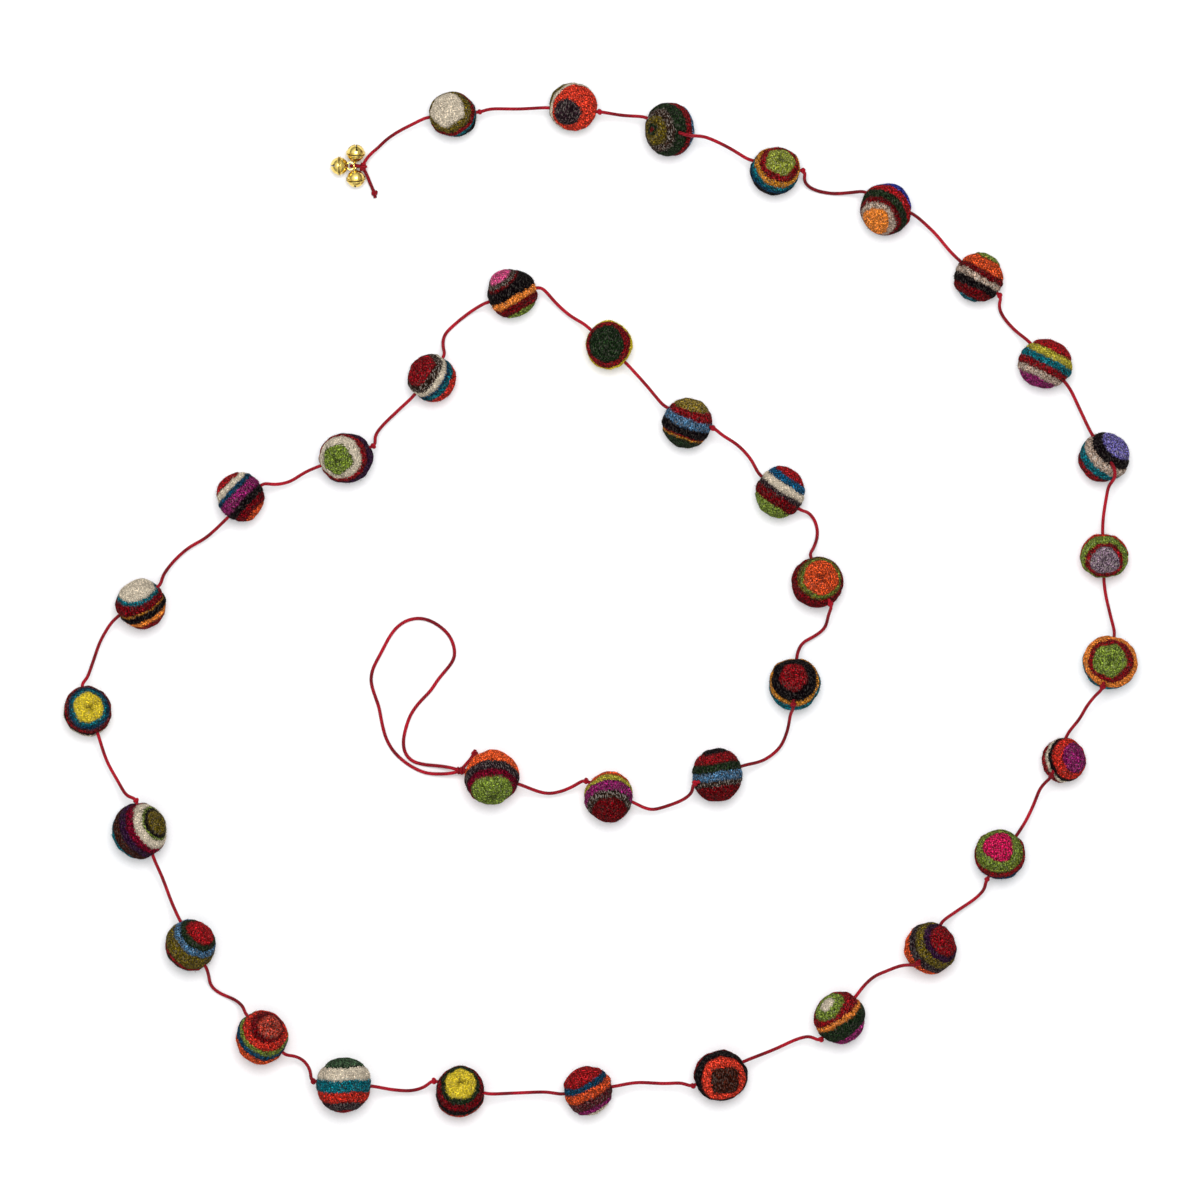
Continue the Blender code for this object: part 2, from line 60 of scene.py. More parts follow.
CORD_RADIUS = 0.85
TOUCH_GAP = 0.3
PLAIN_OFFSET = 1.5
KNOT_OFFSETS = (0.4, 1.5, 2.6)
HIGH_EXIT = 40.0
RIM_STEP = 22.0
CORD_STEP = 1.3
CORD_SIDES = 10
TWIST_PITCH = 5.0
EASE_ROUNDS = 5
STOP_STRAND = 0.72  # the strands of the knots, as radii
END_STRAND = 0.8
TAIL_STRAND = 0.75
TAIL_KNOT_SIZE = 1.75

BALL_CROWN = 0.98
BALL_SINK = 0.5
LUMPS = 0.02
BALL_CUTS = 33
CREASE_DEPTH = 0.32
CREASE_WIDTH = 3.5  # degrees
LAYER_STEPS = (0.16, -0.08)  # how far every other layer stands proud, and the ones between lie low
PIT_DEPTH = 0.8
PIT_WIDTH = 7.0  # degrees, as the width of a hole
HOLE_DEPTH = 0.9
HOLE_WIDTH = 8.0
LAST_SPAN = math.radians(60)  # how wide the outermost layer counts as
# Slow waves over a ball as (radians of phase a radian of turn, height)
WANDER = ((5, 0.02), (10, 0.014), (18, 0.009))  # how the layers' edges stray, in radians
HILLS = ((4, 0.16), (8, 0.10), (14, 0.07), (25, 0.04))  # how the felt swells and sinks, in millimetres
STRANDS = 1100
STRAND_WIDTH = 0.075
STRAND_LENGTHS = (0.5, 1.7)
# Painted shade in the gaps between fibres and painted highlights on their backs: a dye's strength from the
# gaps to the backs, as (fibre height, strength)
FIBRE_SHADES = [(0.5, 0.1), (0.58, 0.65), (0.66, 1.5), (0.74, 2.8)]
# The same for painted glints on the odd brighter strand, by the height of a coarser noise
GLINT_SHADES = [(0.3, 0.6), (0.56, 0.85), (0.66, 2.6)]

BELL_RADIUS = 4.4
FLANGE_RADIUS = 4.8
BELL_WALL = 0.3
BELL_SIDES = 56
SLOT_WIDTH = 0.62
SLOT_END_RADIUS = 0.62
SLOT_END_TURN = 52.0  # degrees from the bell's tip
GROOVE_DEPTH = 0.3
EYELET_WIRE = 0.45
EYELET_HALF_WIDTH = 1.85
EYELET_ROOT = 3.8  # where the eyelet starts inside the crown
EYELET_BEYOND = 1.65  # how far it reaches past the cord that it holds
PEA_RADIUS = 1.5
PEA_PLACE = Vector((0.3, 0.2, -2.55))
BELL_CENTRE_HEIGHT = 4.85
TIE_CENTRE = Vector((-122.4, 217.5, 5.0))
TIE_RADIUS = 2.6
TIE_OPEN = 44.0

Ball = namedtuple("Ball", "x y wide tall enter leave lift knot slot")
BALLS = [
    Ball(-73.5, 242.75, 24, 22.5, 186, 6, 0, 1.5, "cream_felt"),
    Ball(-13.5, 246.75, 24, 23.5, 183, -12, 0, 1.7, "orange_felt"),
    Ball(34.75, 235.25, 25, 27, 153, -26, 61, 1, "heather_felt"),
    Ball(87.5, 214.5, 25, 23.5, 155, 2, 0, 1.7, "lime_felt"),
    Ball(143, 195.5, 25, 26, 140, -9, 0, 1, "crimson_felt"),
    Ball(189.25, 161.25, 24.5, 24.5, 138, -40, 0, 1.7, "crimson_felt"),
    Ball(222.5, 118, 26.5, 24.5, 125, -42, 0, 1, "crimson_felt"),
    Ball(252.25, 71.25, 25.5, 24.5, 118, -50, 70, 1, "black_felt"),
    Ball(252, 22.25, 24, 22.5, 93, 270, 0, 1, "lavender_felt"),
    Ball(255, -31.25, 27, 26.5, 81, 250, 30, 1.8, "lime_felt"),
    Ball(232, -80, 23, 22, 85, 227, 35, 1.7, "magenta_felt"),
    Ball(200.25, -127.25, 25.5, 25.5, 50, 242, 0, 1.5, "pink_felt"),
    Ball(165.25, -174, 25.5, 26.5, 67, 224, 48, 1.8, "olive_felt"),
    Ball(120, -209, 25, 26.5, 54, 228, 0, 1.8, "green_felt"),
    Ball(60.25, -237.5, 26.5, 25, 30, 201, 0, 1.7, "orange_felt"),
    Ball(-5.75, -245.5, 24.5, 24, 10, 187, 0, 1, "crimson_felt"),
    Ball(-70, -245.75, 25, 25.5, -4, 157, 0, 1.9, "yellow_felt"),
    Ball(-128.25, -242.5, 27.5, 27.5, -2, 172, 0, 1.9, "teal_felt"),
    Ball(-169, -218.75, 26, 26.5, -36, 124, 0, 1, "orange_felt"),
    Ball(-205, -172.5, 25, 26, -54, 112, 0, 1, "olive_felt"),
    Ball(-230.25, -115.5, 27.5, 28, -61, 95, 0, 1.7, "plum_felt"),
    Ball(-256.25, -55.5, 23.5, 25, -66, 103, 0, 1, "yellow_felt"),
    Ball(-229.5, -2.25, 25, 24.5, 207, 46, 0, 1, "crimson_felt"),
    Ball(-179.75, 51.5, 23.5, 25, 238, 30, 0, 1, "black_felt"),
    Ball(-127, 71, 27, 25, 197, 24, 0, 1.7, "lime_felt"),
    Ball(-84, 111, 24, 23, 223, 62, 0, 1, "crimson_felt"),
    Ball(-44, 153.5, 25, 24, 201, 12, 0, 1, "black_felt"),
    Ball(4.5, 127.5, 23, 24, 140, -47, 0, 1, "green_felt"),
    Ball(43.5, 88.5, 25, 25, 142, -10, 20, 1.7, "crimson_felt"),
    Ball(89.75, 53.75, 24.5, 25.5, 138, -40, 0, 1, "cream_felt"),
    Ball(108.75, 9, 25.5, 25, 105, -59, 27, 1.8, "orange_felt"),
    Ball(97.25, -42, 25.5, 26, 85, 265, 46, 1.8, "black_felt"),
    Ball(58.75, -87.5, 25.5, 26, 20, 199, 32, 1.8, "blue_felt"),
    Ball(4.25, -98.5, 24.5, 25, -12, 143, 0, 1.8, "crimson_felt"),
    Ball(-54, -88.5, 27.5, 27, -15, 165, -25, 1, "lime_felt"),
]
RIM_ANGLES = {3: -11.0, 8: -80.0, 13: 213.0, 32: 265.0}

Stretch = namedtuple("Stretch", "dip points")
STRETCHES = [
    Stretch(1, [
        (-116.9, 221.3), (-114.5, 224), (-111.5, 226.25), (-108, 229.75), (-102, 234), (-93, 238.5),
    ]),
    Stretch(2, [(-56, 245.5), (-40, 245.75)]),
    Stretch(1.5, [(11, 242.5)]),
    Stretch(3, [(52, 231.5), (64, 226.5)]),
    Stretch(12, [(102.25, 210), (106.5, 206.25), (116, 204), (127, 204.25)]),
    Stretch(6, [(160.5, 190.25), (168.5, 183), (174.5, 175.5)]),
    Stretch(9, [(199.75, 148), (201.5, 143), (207, 136.25)]),
    Stretch(4, [(235.5, 105), (240, 96)]),
    Stretch(3, [(254.5, 58), (253, 50), (251.75, 41)]),
    Stretch(3, [(253, 3), (255.5, -8)]),
    Stretch(5, [(247.75, -47.25), (243.5, -53), (240, -59.5), (235, -65.5)]),
    Stretch(7, [(223.5, -90), (220, -94.5), (217.5, -101.5), (213.5, -110)]),
    Stretch(8, [(192.5, -144.5), (188.5, -149.25), (179, -155.75)]),
    Stretch(8, [(150.5, -182.75), (143.5, -185.75), (137, -188.75), (132, -193.25)]),
    Stretch(5, [(105.5, -218.25), (99, -219.75), (88, -224.75)]),
    Stretch(2.5, [(42, -241.75), (32, -242), (18, -241.5)]),
    Stretch(2.5, [(-26, -246.25), (-42.5, -246.75)]),
    Stretch(7, [(-86.25, -242.75), (-93.5, -245.75), (-102.5, -245.5)]),
    Stretch(6, [(-144.75, -236.25), (-148, -231), (-153, -228.25)]),
    Stretch(12, [(-178.5, -204), (-183, -200.5), (-191, -197.25), (-195, -193.75), (-196, -188)]),
    Stretch(4, [(-214.5, -151), (-219, -139)]),
    Stretch(5, [(-236.25, -98.25), (-241.5, -90.5), (-247, -80.5)]),
    Stretch(6, [(-257.5, -40.5), (-254, -31), (-250.5, -21), (-245, -12)]),
    Stretch(8, [(-219, 11.5), (-214, 19), (-206.5, 26), (-197.5, 31.25)]),
    Stretch(5, [(-164, 57.75), (-156, 59), (-148, 63.75)]),
    Stretch(8, [(-112.75, 81.5), (-110.25, 86), (-101.5, 94.75)]),
    Stretch(12, [(-78.75, 127.5), (-78, 133), (-73, 138.25), (-65, 144.5)]),
    Stretch(7, [(-28, 155.25), (-22, 148.75), (-15, 142.5), (-8.5, 138.5)]),
    Stretch(2, [(22.5, 108.25)]),
    Stretch(6, [(61, 82.5), (69, 77.5), (75.5, 70.5)]),
    Stretch(12, [(103.5, 44.25), (107.75, 40), (109.25, 33.5), (107.5, 27)]),
    Stretch(12, [(114.25, -7.5), (112.5, -14.25), (107, -18.5), (101.5, -21.5)]),
    Stretch(9, [(95.25, -56.5), (93.75, -65.5), (90, -74), (82, -80.25)]),
    Stretch(8, [(46.25, -95.25), (43, -99), (34, -103), (25.5, -105)]),
    Stretch(7, [(-12, -92.5), (-19, -95.75), (-26.5, -97), (-34, -94.75)]),
]
CORD_START = Vector((-118.2, 220.0, 5.2))
CORD_END = Vector((-66.4, -85.4, 7.1))
BELL_KNOT = Vector((-118.7, 217.1, 5.0))
LOOP_KNOT = Vector((-69.75, -85.5, 6.5))

LOOP_POINTS = [
    (-73.1, -84.4), (-80, -83.25), (-88, -82.6), (-94.5, -80.75), (-98, -76.5), (-98.75, -71),
    (-97.5, -64.5), (-95, -57.5), (-91, -51.75), (-85, -45.5), (-81, -39.5), (-76.5, -34.25),
    (-73.25, -29.5), (-73, -24.5), (-75.5, -18), (-80, -13.5), (-85.5, -10.25), (-91.5, -9.1),
    (-98, -10.75), (-103, -14.75), (-106.5, -20), (-110.25, -27.25), (-114, -34.5), (-115, -40.5),
    (-113.5, -46.5), (-111, -53.5), (-109.5, -61.5), (-107.5, -69), (-104, -75.5), (-99, -80.5),
    (-93.5, -84.25), (-87.5, -86.75), (-80.5, -87.25), (-73.1, -86.6),
]
LOOP_END_HEIGHT = 6.0
LOOP_DROP_LENGTH = 18.0
BELL_TAIL = [
    (-117.5, 214.3, 3.9), (-116, 211, 2.2), (-114.9, 208, 1.0), (-113, 203.75, 1.7), (-112.8, 201.75, 1.2),
]
BELL_TAIL_KNOT = (-113.1, 204.2, 1.75)
LOOP_TAIL = [
    (-68.2, -83.2, 5.6), (-66.2, -81.4, 4.2), (-64.8, -79.8, 2.5), (-62.9, -76.8, 1.7), (-62.6, -75.2, 1.2),
]
LOOP_TAIL_KNOT = (-62.9, -76.9, 1.75)

# The dyed wools: their linear colour, and how much pale fibre is blended in, which on the dark wools also
# stands for painted glints
Wool = namedtuple("Wool", "colour pale")
WOOLS = {
    "cream": Wool((0.55, 0.47, 0.355), 0.35),
    "tan": Wool((0.33, 0.235, 0.175), 1.0),
    "yellow": Wool((0.60, 0.45, 0.022), 0.15),
    "citron": Wool((0.36, 0.305, 0.026), 0.15),
    "ochre": Wool((0.187, 0.128, 0.013), 0.25),
    "amber": Wool((0.70, 0.195, 0.026), 0.15),
    "mustard": Wool((0.44, 0.165, 0.012), 0.2),
    "tangerine": Wool((0.76, 0.09, 0.018), 0.08),
    "orange": Wool((0.59, 0.066, 0.014), 0.08),
    "flame": Wool((0.62, 0.04, 0.018), 0.06),
    "vermilion": Wool((0.49, 0.022, 0.012), 0.08),
    "rust": Wool((0.38, 0.034, 0.018), 0.22),
    "pear": Wool((0.222, 0.253, 0.029), 0.25),
    "lime": Wool((0.143, 0.203, 0.024), 0.18),
    "moss": Wool((0.122, 0.158, 0.016), 0.22),
    "olive": Wool((0.102, 0.072, 0.005), 0.16),
    "green": Wool((0.008, 0.019, 0.006), 0.1),
    "sage": Wool((0.029, 0.066, 0.029), 0.14),
    "teal": Wool((0.002, 0.11, 0.14), 0.07),
    "azure": Wool((0.003, 0.075, 0.165), 0.07),
    "blue": Wool((0.048, 0.124, 0.22), 0.22),
    "cobalt": Wool((0.012, 0.022, 0.23), 0.12),
    "navy": Wool((0.003, 0.042, 0.088), 0.06),
    "lavender": Wool((0.104, 0.086, 0.305), 0.45),
    "mauve": Wool((0.165, 0.108, 0.148), 0.5),
    "magenta": Wool((0.20, 0.010, 0.092), 0.12),
    "berry": Wool((0.135, 0.001, 0.013), 0.03),
    "pink": Wool((0.48, 0.008, 0.07), 0.08),
    "rose": Wool((0.56, 0.055, 0.185), 0.3),
    "scarlet": Wool((0.31, 0.006, 0.009), 0.06),
    "crimson": Wool((0.190, 0.003, 0.006), 0.08),
    "garnet": Wool((0.133, 0.001, 0.004), 0.06),
    "maroon": Wool((0.116, 0.001, 0.003), 0.07),
    "plum": Wool((0.072, 0.008, 0.012), 0.2),
    "violet": Wool((0.026, 0.004, 0.027), 0.1),
    "brown": Wool((0.040, 0.007, 0.003), 0.12),
    "heather": Wool((0.026, 0.012, 0.007), 0.55),
    "charcoal": Wool((0.019, 0.008, 0.012), 0.27),
    "black": Wool((0.003, 0.001, 0.002), 0.09),
}
# Each ball's layers, inside out: the wool, how many degrees its edge lies from the layer's middle, and,
# where the middle differs from the last one's, its angle and how far it leans from straight up.
# The outermost layer covers the rest of the ball.
LAYERS = {
    1: [("cream", 50, 148, 26), ("olive", 73), ("crimson", 90), ("teal", 103), ("black",)],
    2: [("charcoal", 36, 233, 26), ("flame", 81, -38, 25), ("cream", 94), ("olive",)],
    3: [
        ("crimson", 5, 185, 45), ("green", 14), ("olive", 37, 189, 45), ("heather", 57), ("green", 88),
        ("crimson", 110), ("blue",),
    ],
    4: [("pear", 38, 61, 29), ("crimson", 55), ("mustard", 71), ("teal", 85), ("navy", 97), ("black",)],
    5: [("amber", 38, 230, 50), ("tan", 50), ("maroon", 63), ("green", 84), ("scarlet", 108), ("cobalt",)],
    6: [
        ("lime", 36, 62, 90), ("orange", 71), ("maroon", 86), ("tan", 101), ("black", 122), ("maroon", 154),
        ("teal",),
    ],
    7: [
        ("scarlet", 57, 63, 90), ("citron", 76), ("teal", 94), ("crimson", 111), ("tan", 129), ("magenta",),
    ],
    8: [("lavender", 44, 46, 58), ("black", 69), ("tan", 92), ("teal", 119), ("crimson",)],
    9: [("mauve", 39, 270, 16), ("crimson", 53, 268, 20), ("lime", 79), ("vermilion",)],
    10: [("lime", 40, 129, 8), ("crimson", 57, 100, 6), ("amber", 88, 60, 14), ("teal",)],
    11: [("magenta", 43, 14, 37), ("vermilion", 72), ("black", 85), ("cream", 97), ("crimson",)],
    12: [("pink", 38, 109, 27), ("lime", 57), ("moss", 71), ("crimson", 94), ("navy",)],
    13: [("crimson", 39, 32, 45), ("violet", 54), ("olive", 75), ("charcoal", 97), ("orange",)],
    14: [
        ("cream", 17, 134, 53), ("lime", 39), ("crimson", 78, 124, 80), ("amber", 89), ("green", 127),
        ("magenta",),
    ],
    15: [("brown", 37, -45, 16), ("flame", 61, -45, 14), ("black", 92), ("crimson",)],
    16: [
        ("scarlet", 58, 115, 80), ("navy", 74), ("orange", 97), ("plum", 124), ("magenta", 143), ("cream",),
    ],
    17: [("yellow", 40, 85, 27), ("green", 55), ("garnet", 79), ("black", 98), ("rust",)],
    18: [
        ("sage", 47, 90, 90), ("cream", 75), ("teal", 102), ("vermilion", 126), ("charcoal", 155),
        ("crimson",),
    ],
    19: [
        ("rust", 31, 52, 42), ("maroon", 43, 62, 42), ("vermilion", 64), ("lime", 76), ("navy", 89),
        ("orange",),
    ],
    20: [
        ("scarlet", 38, 50, 57), ("green", 53), ("blue", 69), ("olive", 109), ("crimson", 122), ("green",),
    ],
    21: [
        ("olive", 27, 26, 55), ("black", 34), ("lime", 38), ("cream", 57), ("berry", 73), ("violet", 91),
        ("brown", 116), ("teal",),
    ],
    22: [
        ("yellow", 39, 50, 15), ("teal", 50), ("navy", 60), ("plum", 70), ("crimson", 82), ("black", 93),
        ("cream",),
    ],
    23: [
        ("cream", 50, 105, 59), ("teal", 60), ("garnet", 88, 114, 65), ("mustard", 91), ("black", 110),
        ("amber", 125), ("crimson",),
    ],
    24: [
        ("scarlet", 43, 136, 90), ("cream", 60), ("navy", 75), ("magenta", 101), ("black", 121),
        ("garnet", 146), ("orange",),
    ],
    25: [("lime", 37, 200, 23), ("cream", 58, 178, 20), ("crimson", 76), ("violet",)],
    26: [
        ("crimson", 45, 146, 50), ("heather", 65), ("cream", 80), ("navy", 89), ("teal", 101),
        ("vermilion",),
    ],
    27: [
        ("rose", 31, 127, 65), ("heather", 43), ("maroon", 49), ("black", 92, 118, 80), ("amber", 110),
        ("maroon", 138), ("lime",),
    ],
    28: [("green", 52, 170, 10), ("crimson", 78), ("yellow",)],
    29: [
        ("ochre", 47, 74, 75), ("crimson", 67, 69, 75), ("blue", 89), ("black", 113), ("crimson", 117),
        ("mustard", 120), ("green",),
    ],
    30: [
        ("scarlet", 42, 56, 85), ("azure", 61), ("cream", 80), ("charcoal", 93), ("maroon", 120), ("lime",),
    ],
    31: [("orange", 46, 58, 17), ("lime", 54), ("olive", 64, 69, 19), ("garnet",)],
    32: [("crimson", 35, 100, 20), ("black", 63), ("mustard", 79), ("teal",)],
    33: [
        ("black", 32, 98, 90), ("crimson", 62), ("green", 82), ("blue", 103), ("heather", 115), ("maroon",),
    ],
    34: [("maroon", 48, -85, 47), ("heather", 65), ("magenta", 91), ("citron", 111), ("orange",)],
    35: [("lime", 50, -88, 45), ("berry", 66), ("charcoal", 86), ("tangerine",)],
}
# The lobes of an innermost layer: how many, how many degrees they reach out, and the first one's angle
LOBES = {
    1: (5, 2, 53), 4: (5, 2, -80), 5: (3, 5, 45), 9: (3, 3, 90), 10: (5, 2, 135), 12: (3, 2.5, 180),
    15: (4, 3, 50), 17: (5, 1.5, 90), 22: (5, 1.5, 100), 25: (5, 2, 60), 26: (3, 3, 270), 31: (5, 1.5, -90),
    32: (5, 1.2, -90), 35: (4, 2.5, 50),
}
# The balls whose innermost layer is drawn into a pit at its middle, darkened with painted shade
PITTED = (4, 10, 17, 19, 22, 25, 29, 31, 35)

Bell = namedtuple("Bell", "name angle way reach")
BELLS = [
    Bell("bell_1", 260.0, Vector((0, 1, 0)), 6.9),
    Bell("bell_2", 180.0, Vector((-1, 0, 0)), 5.65),
    Bell("bell_3", 100.0, Vector((0, -1, 0)), 6.9),
]


# Camera, light and floor


def add_camera():
    data = bpy.data.cameras.new("camera")
    data.sensor_width = SENSOR_WIDTH
    data.lens = SENSOR_WIDTH * (CAMERA_HEIGHT - VIEW_LEVEL) / VIEW_WIDTH
    data.clip_end = 20
    camera = bpy.data.objects.new("camera", data)
    camera.location = (0, 0, CAMERA_HEIGHT * MM)
    bpy.context.scene.collection.objects.link(camera)
    bpy.context.scene.camera = camera


def add_light(name, place, size, power):
    data = bpy.data.lights.new(name, "AREA")
    data.shape = "DISK"
    data.size = size
    data.energy = power
    light = bpy.data.objects.new(name, data)
    light.location = place
    light.rotation_euler = (-Vector(place)).to_track_quat("-Z", "Y").to_euler()
    bpy.context.scene.collection.objects.link(light)


def add_world():
    """A white studio ceiling over darker walls, with a dark screen, for the brass to mirror."""
    graph = Graph(bpy.data.worlds.new("studio"), "Background")
    axes = graph.nodes.new("ShaderNodeSeparateXYZ")
    graph.put(axes.inputs[0], graph.nodes.new("ShaderNodeTexCoord").outputs["Generated"])
    walls = graph.ramp(axes.outputs["Z"], WALL_SHADES)
    screen = graph.ramp(axes.outputs["X"], SCREEN_SHADES)
    graph.surface(Color=graph.mix(1.0, walls, screen, "MULTIPLY"), Strength=STUDIO_STRENGTH)
    bpy.context.scene.world = graph.owner


def add_floor():
    bm = bmesh.new()
    bmesh.ops.create_grid(bm, x_segments=2, y_segments=2, size=4)
    mesh = bpy.data.meshes.new("floor")
    bm.to_mesh(mesh)
    bm.free()
    graph = material_graph("floor_paper")
    speckle = graph.noise(graph.object_position(), 900, 3)
    colour = graph.mix(graph.ramp(speckle, [(0.4, 0), (0.6, 1)]), (0.85, 0.85, 0.86), (0.87, 0.87, 0.88))
    graph.surface(Base_Color=colour, Roughness=0.9, Specular_IOR_Level=0.1)
    mesh.materials.append(graph.owner)
    floor = bpy.data.objects.new("floor", mesh)
    floor.location.z = -0.0002
    bpy.context.scene.collection.objects.link(floor)


# Materials


class Graph:
    """The node tree of a material or the world, with short calls for the nodes used here."""

    def __init__(self, owner, shader):
        self.owner = owner
        owner.use_nodes = True
        self.nodes = owner.node_tree.nodes
        self.links = owner.node_tree.links
        self.shader = self.nodes[shader]

    def put(self, socket, value):
        """Links a socket into this one, or sets it to a constant."""
        if isinstance(value, bpy.types.NodeSocket):
            self.links.new(value, socket)
        elif isinstance(value, tuple) and socket.type == "RGBA":
            socket.default_value = (*value[:3], 1)
        else:
            socket.default_value = value

    def surface(self, **values):
        for key, value in values.items():
            self.put(self.shader.inputs[key.replace("_", " ")], value)

    def object_position(self):
        return self.nodes.new("ShaderNodeTexCoord").outputs["Object"]

    def attribute(self, name):
        node = self.nodes.new("ShaderNodeAttribute")
        node.attribute_name = name
        return node.outputs["Fac"]

    def noise(self, position, scale, detail, roughness=0.5, distortion=0.0):
        node = self.nodes.new("ShaderNodeTexNoise")
        self.put(node.inputs["Vector"], position)
        node.inputs["Scale"].default_value = scale
        node.inputs["Detail"].default_value = detail
        node.inputs["Roughness"].default_value = roughness
        node.inputs["Distortion"].default_value = distortion
        return node.outputs["Fac"]

    def stretched(self, position, turn, scale):
        """Positions turned and scaled by axis, so that a noise on them becomes fibres."""
        node = self.nodes.new("ShaderNodeMapping")
        self.put(node.inputs["Vector"], position)
        node.inputs["Rotation"].default_value = turn
        node.inputs["Scale"].default_value = scale
        return node.outputs["Vector"]

    def maths(self, operation, *values):
        node = self.nodes.new("ShaderNodeMath")
        node.operation = operation
        for socket, value in zip(node.inputs, values):
            self.put(socket, value)
        return node.outputs[0]

    def ramp(self, value, stops, mode="LINEAR"):
        """A ramp through (position, brightness or colour) stops."""
        node = self.nodes.new("ShaderNodeValToRGB")
        ramp = node.color_ramp
        ramp.interpolation = mode
        while len(ramp.elements) < len(stops):
            ramp.elements.new(1)
        for element, (place, shade) in zip(ramp.elements, stops):
            element.position = place
            element.color = (*shade, 1) if isinstance(shade, tuple) else (shade, shade, shade, 1)
        self.put(node.inputs[0], value)
        return node.outputs["Color"]

    def mix(self, factor, first, second, blend="MIX"):
        node = self.nodes.new("ShaderNodeMix")
        node.data_type = "RGBA"
        node.blend_type = blend
        self.put(node.inputs["Factor"], factor)
        self.put(node.inputs[6], first)
        self.put(node.inputs[7], second)
        return node.outputs[2]

    def bump(self, height, distance, strength=1.0):
        node = self.nodes.new("ShaderNodeBump")
        self.put(node.inputs["Height"], height)
        node.inputs["Distance"].default_value = distance
        node.inputs["Strength"].default_value = strength
        return node.outputs["Normal"]


def material_graph(name):
    return Graph(bpy.data.materials.new(name), "Principled BSDF")


def felt_fibres(graph, position):
    """Fibres that cross in three directions, from 0 to 1."""
    turns = ((0, 0, 0.4), (0.9, 0.3, 1.4), (0.2, 1.1, 2.4))
    scales = ((560, 1950, 1950), (1950, 560, 1950), (1950, 1950, 560))
    layers = [
        graph.noise(graph.stretched(position, turn, scale), 1, 2, 0.5, 0.3)
        for turn, scale in zip(turns, scales)
    ]
    return graph.maths("MAXIMUM", graph.maths("MAXIMUM", layers[0], layers[1]), layers[2])


def tangled_layer(graph, position, fibres):
    """The mesh's layer attribute, with the fibres of two layers tangled across their edge."""
    stray = graph.maths("SUBTRACT", graph.noise(position, 620, 2), 0.5)
    tangle = graph.maths("SUBTRACT", fibres, 0.6)
    degrees = graph.maths("ADD", graph.maths("MULTIPLY", stray, 9.0), graph.maths("MULTIPLY", tangle, 24.0))
    shift = graph.maths("MULTIPLY", degrees, graph.attribute("grain"))
    return graph.maths("ADD", graph.attribute("layer"), shift)


def felt_material(name, layers):
    """Wool in layers, each with its dye and its share of pale fibres that also paint glints, with painted
    shade and highlights on its fibres and painted shade where it is pinched in.
    """
    graph = material_graph(name)
    position = graph.object_position()
    fibres = felt_fibres(graph, position)
    place = graph.maths("DIVIDE", tangled_layer(graph, position, fibres), float(len(layers)))
    wools = [(index / len(layers), WOOLS[row[0]]) for index, row in enumerate(layers)]
    dye = graph.ramp(place, [(start, wool.colour) for start, wool in wools], "CONSTANT")
    blend = graph.ramp(place, [(start, wool.pale) for start, wool in wools], "CONSTANT")
    clouds = graph.ramp(graph.noise(position, 260, 3, 0.6), [(0.3, 0.78), (0.7, 1.2)])
    dye = graph.mix(1.0, dye, clouds, "MULTIPLY")
    # Painted shade between the fibres and painted highlights on them and on the odd strand, weaker on pale
    # dyes
    contrast = graph.ramp(dye, [(0.12, 1.0), (0.5, 0.42)])
    dye = graph.mix(contrast, dye, graph.ramp(fibres, FIBRE_SHADES), "MULTIPLY")
    glints = graph.noise(graph.stretched(position, (1.1, 0.2, 0.9), (1500, 1500, 420)), 1, 1)
    dye = graph.mix(contrast, dye, graph.ramp(glints, GLINT_SHADES), "MULTIPLY")
    # Pale fibres blended in: partly pale wool, partly painted glints on the dark wools
    strands = graph.stretched(position, (0.5, 0.8, 0.1), (2100, 560, 2100))
    pale = graph.ramp(graph.noise(strands, 1, 1), [(0.56, 0), (0.63, 0.62)])
    wool = graph.mix(graph.maths("MULTIPLY", pale, blend), dye, (0.72, 0.64, 0.56))
    # Painted shade: near-black mixed in where the felt is pinched into creases, its pit and the cord's
    # holes
    hollow_shade = graph.maths("MULTIPLY", graph.attribute("hollow_shade"), 0.5)
    wool = graph.mix(hollow_shade, wool, (0.006, 0.004, 0.004))
    height = graph.maths("ADD", fibres, graph.maths("MULTIPLY", graph.noise(position, 900, 2, 0.6), 0.5))
    graph.surface(
        Base_Color=wool, Roughness=0.95, Specular_IOR_Level=0.02,
        Sheen_Weight=0.02, Sheen_Roughness=0.5, Sheen_Tint=wool,
        Normal=graph.bump(height, 0.0011),
    )
    return graph.owner


def cord_material():
    """Waxed cotton: twisted plies with a low sheen, with painted shade in the lay between them and a
    painted highlight on their crowns.
    """
    graph = material_graph("waxed_red_cord")
    along = graph.attribute("along")
    around = graph.attribute("around")
    turns = graph.maths("ADD", graph.maths("DIVIDE", along, TWIST_PITCH * MM), around)
    ply = graph.maths("ABSOLUTE", graph.maths("SINE", graph.maths("MULTIPLY", turns, 3 * math.pi)))
    position = graph.object_position()
    fibres = graph.noise(graph.stretched(position, (0, 0, 0.6), (900, 3000, 3000)), 1, 3, 0.6)
    patches = graph.noise(position, 90, 3)
    patches = graph.ramp(patches, [(0.35, 0), (0.65, 1)])
    red = graph.mix(patches, (0.135, 0.002, 0.006), (0.37, 0.0055, 0.0165))
    # Painted shade in the lay between the plies and a painted highlight on their crowns
    shade = graph.ramp(ply, [(0.0, 0.3), (0.45, 0.95), (1.0, 1.2)])
    red = graph.mix(1.0, red, shade, "MULTIPLY")
    red = graph.mix(1.0, red, graph.ramp(fibres, [(0.3, 0.8), (0.7, 1.2)]), "MULTIPLY")
    height = graph.maths("ADD", ply, graph.maths("MULTIPLY", fibres, 0.35))
    graph.surface(
        Base_Color=red, Roughness=graph.ramp(fibres, [(0.3, 0.5), (0.7, 0.7)]),
        Specular_IOR_Level=0.12, Normal=graph.bump(height, 0.00025, 0.9),
    )
    return graph.owner


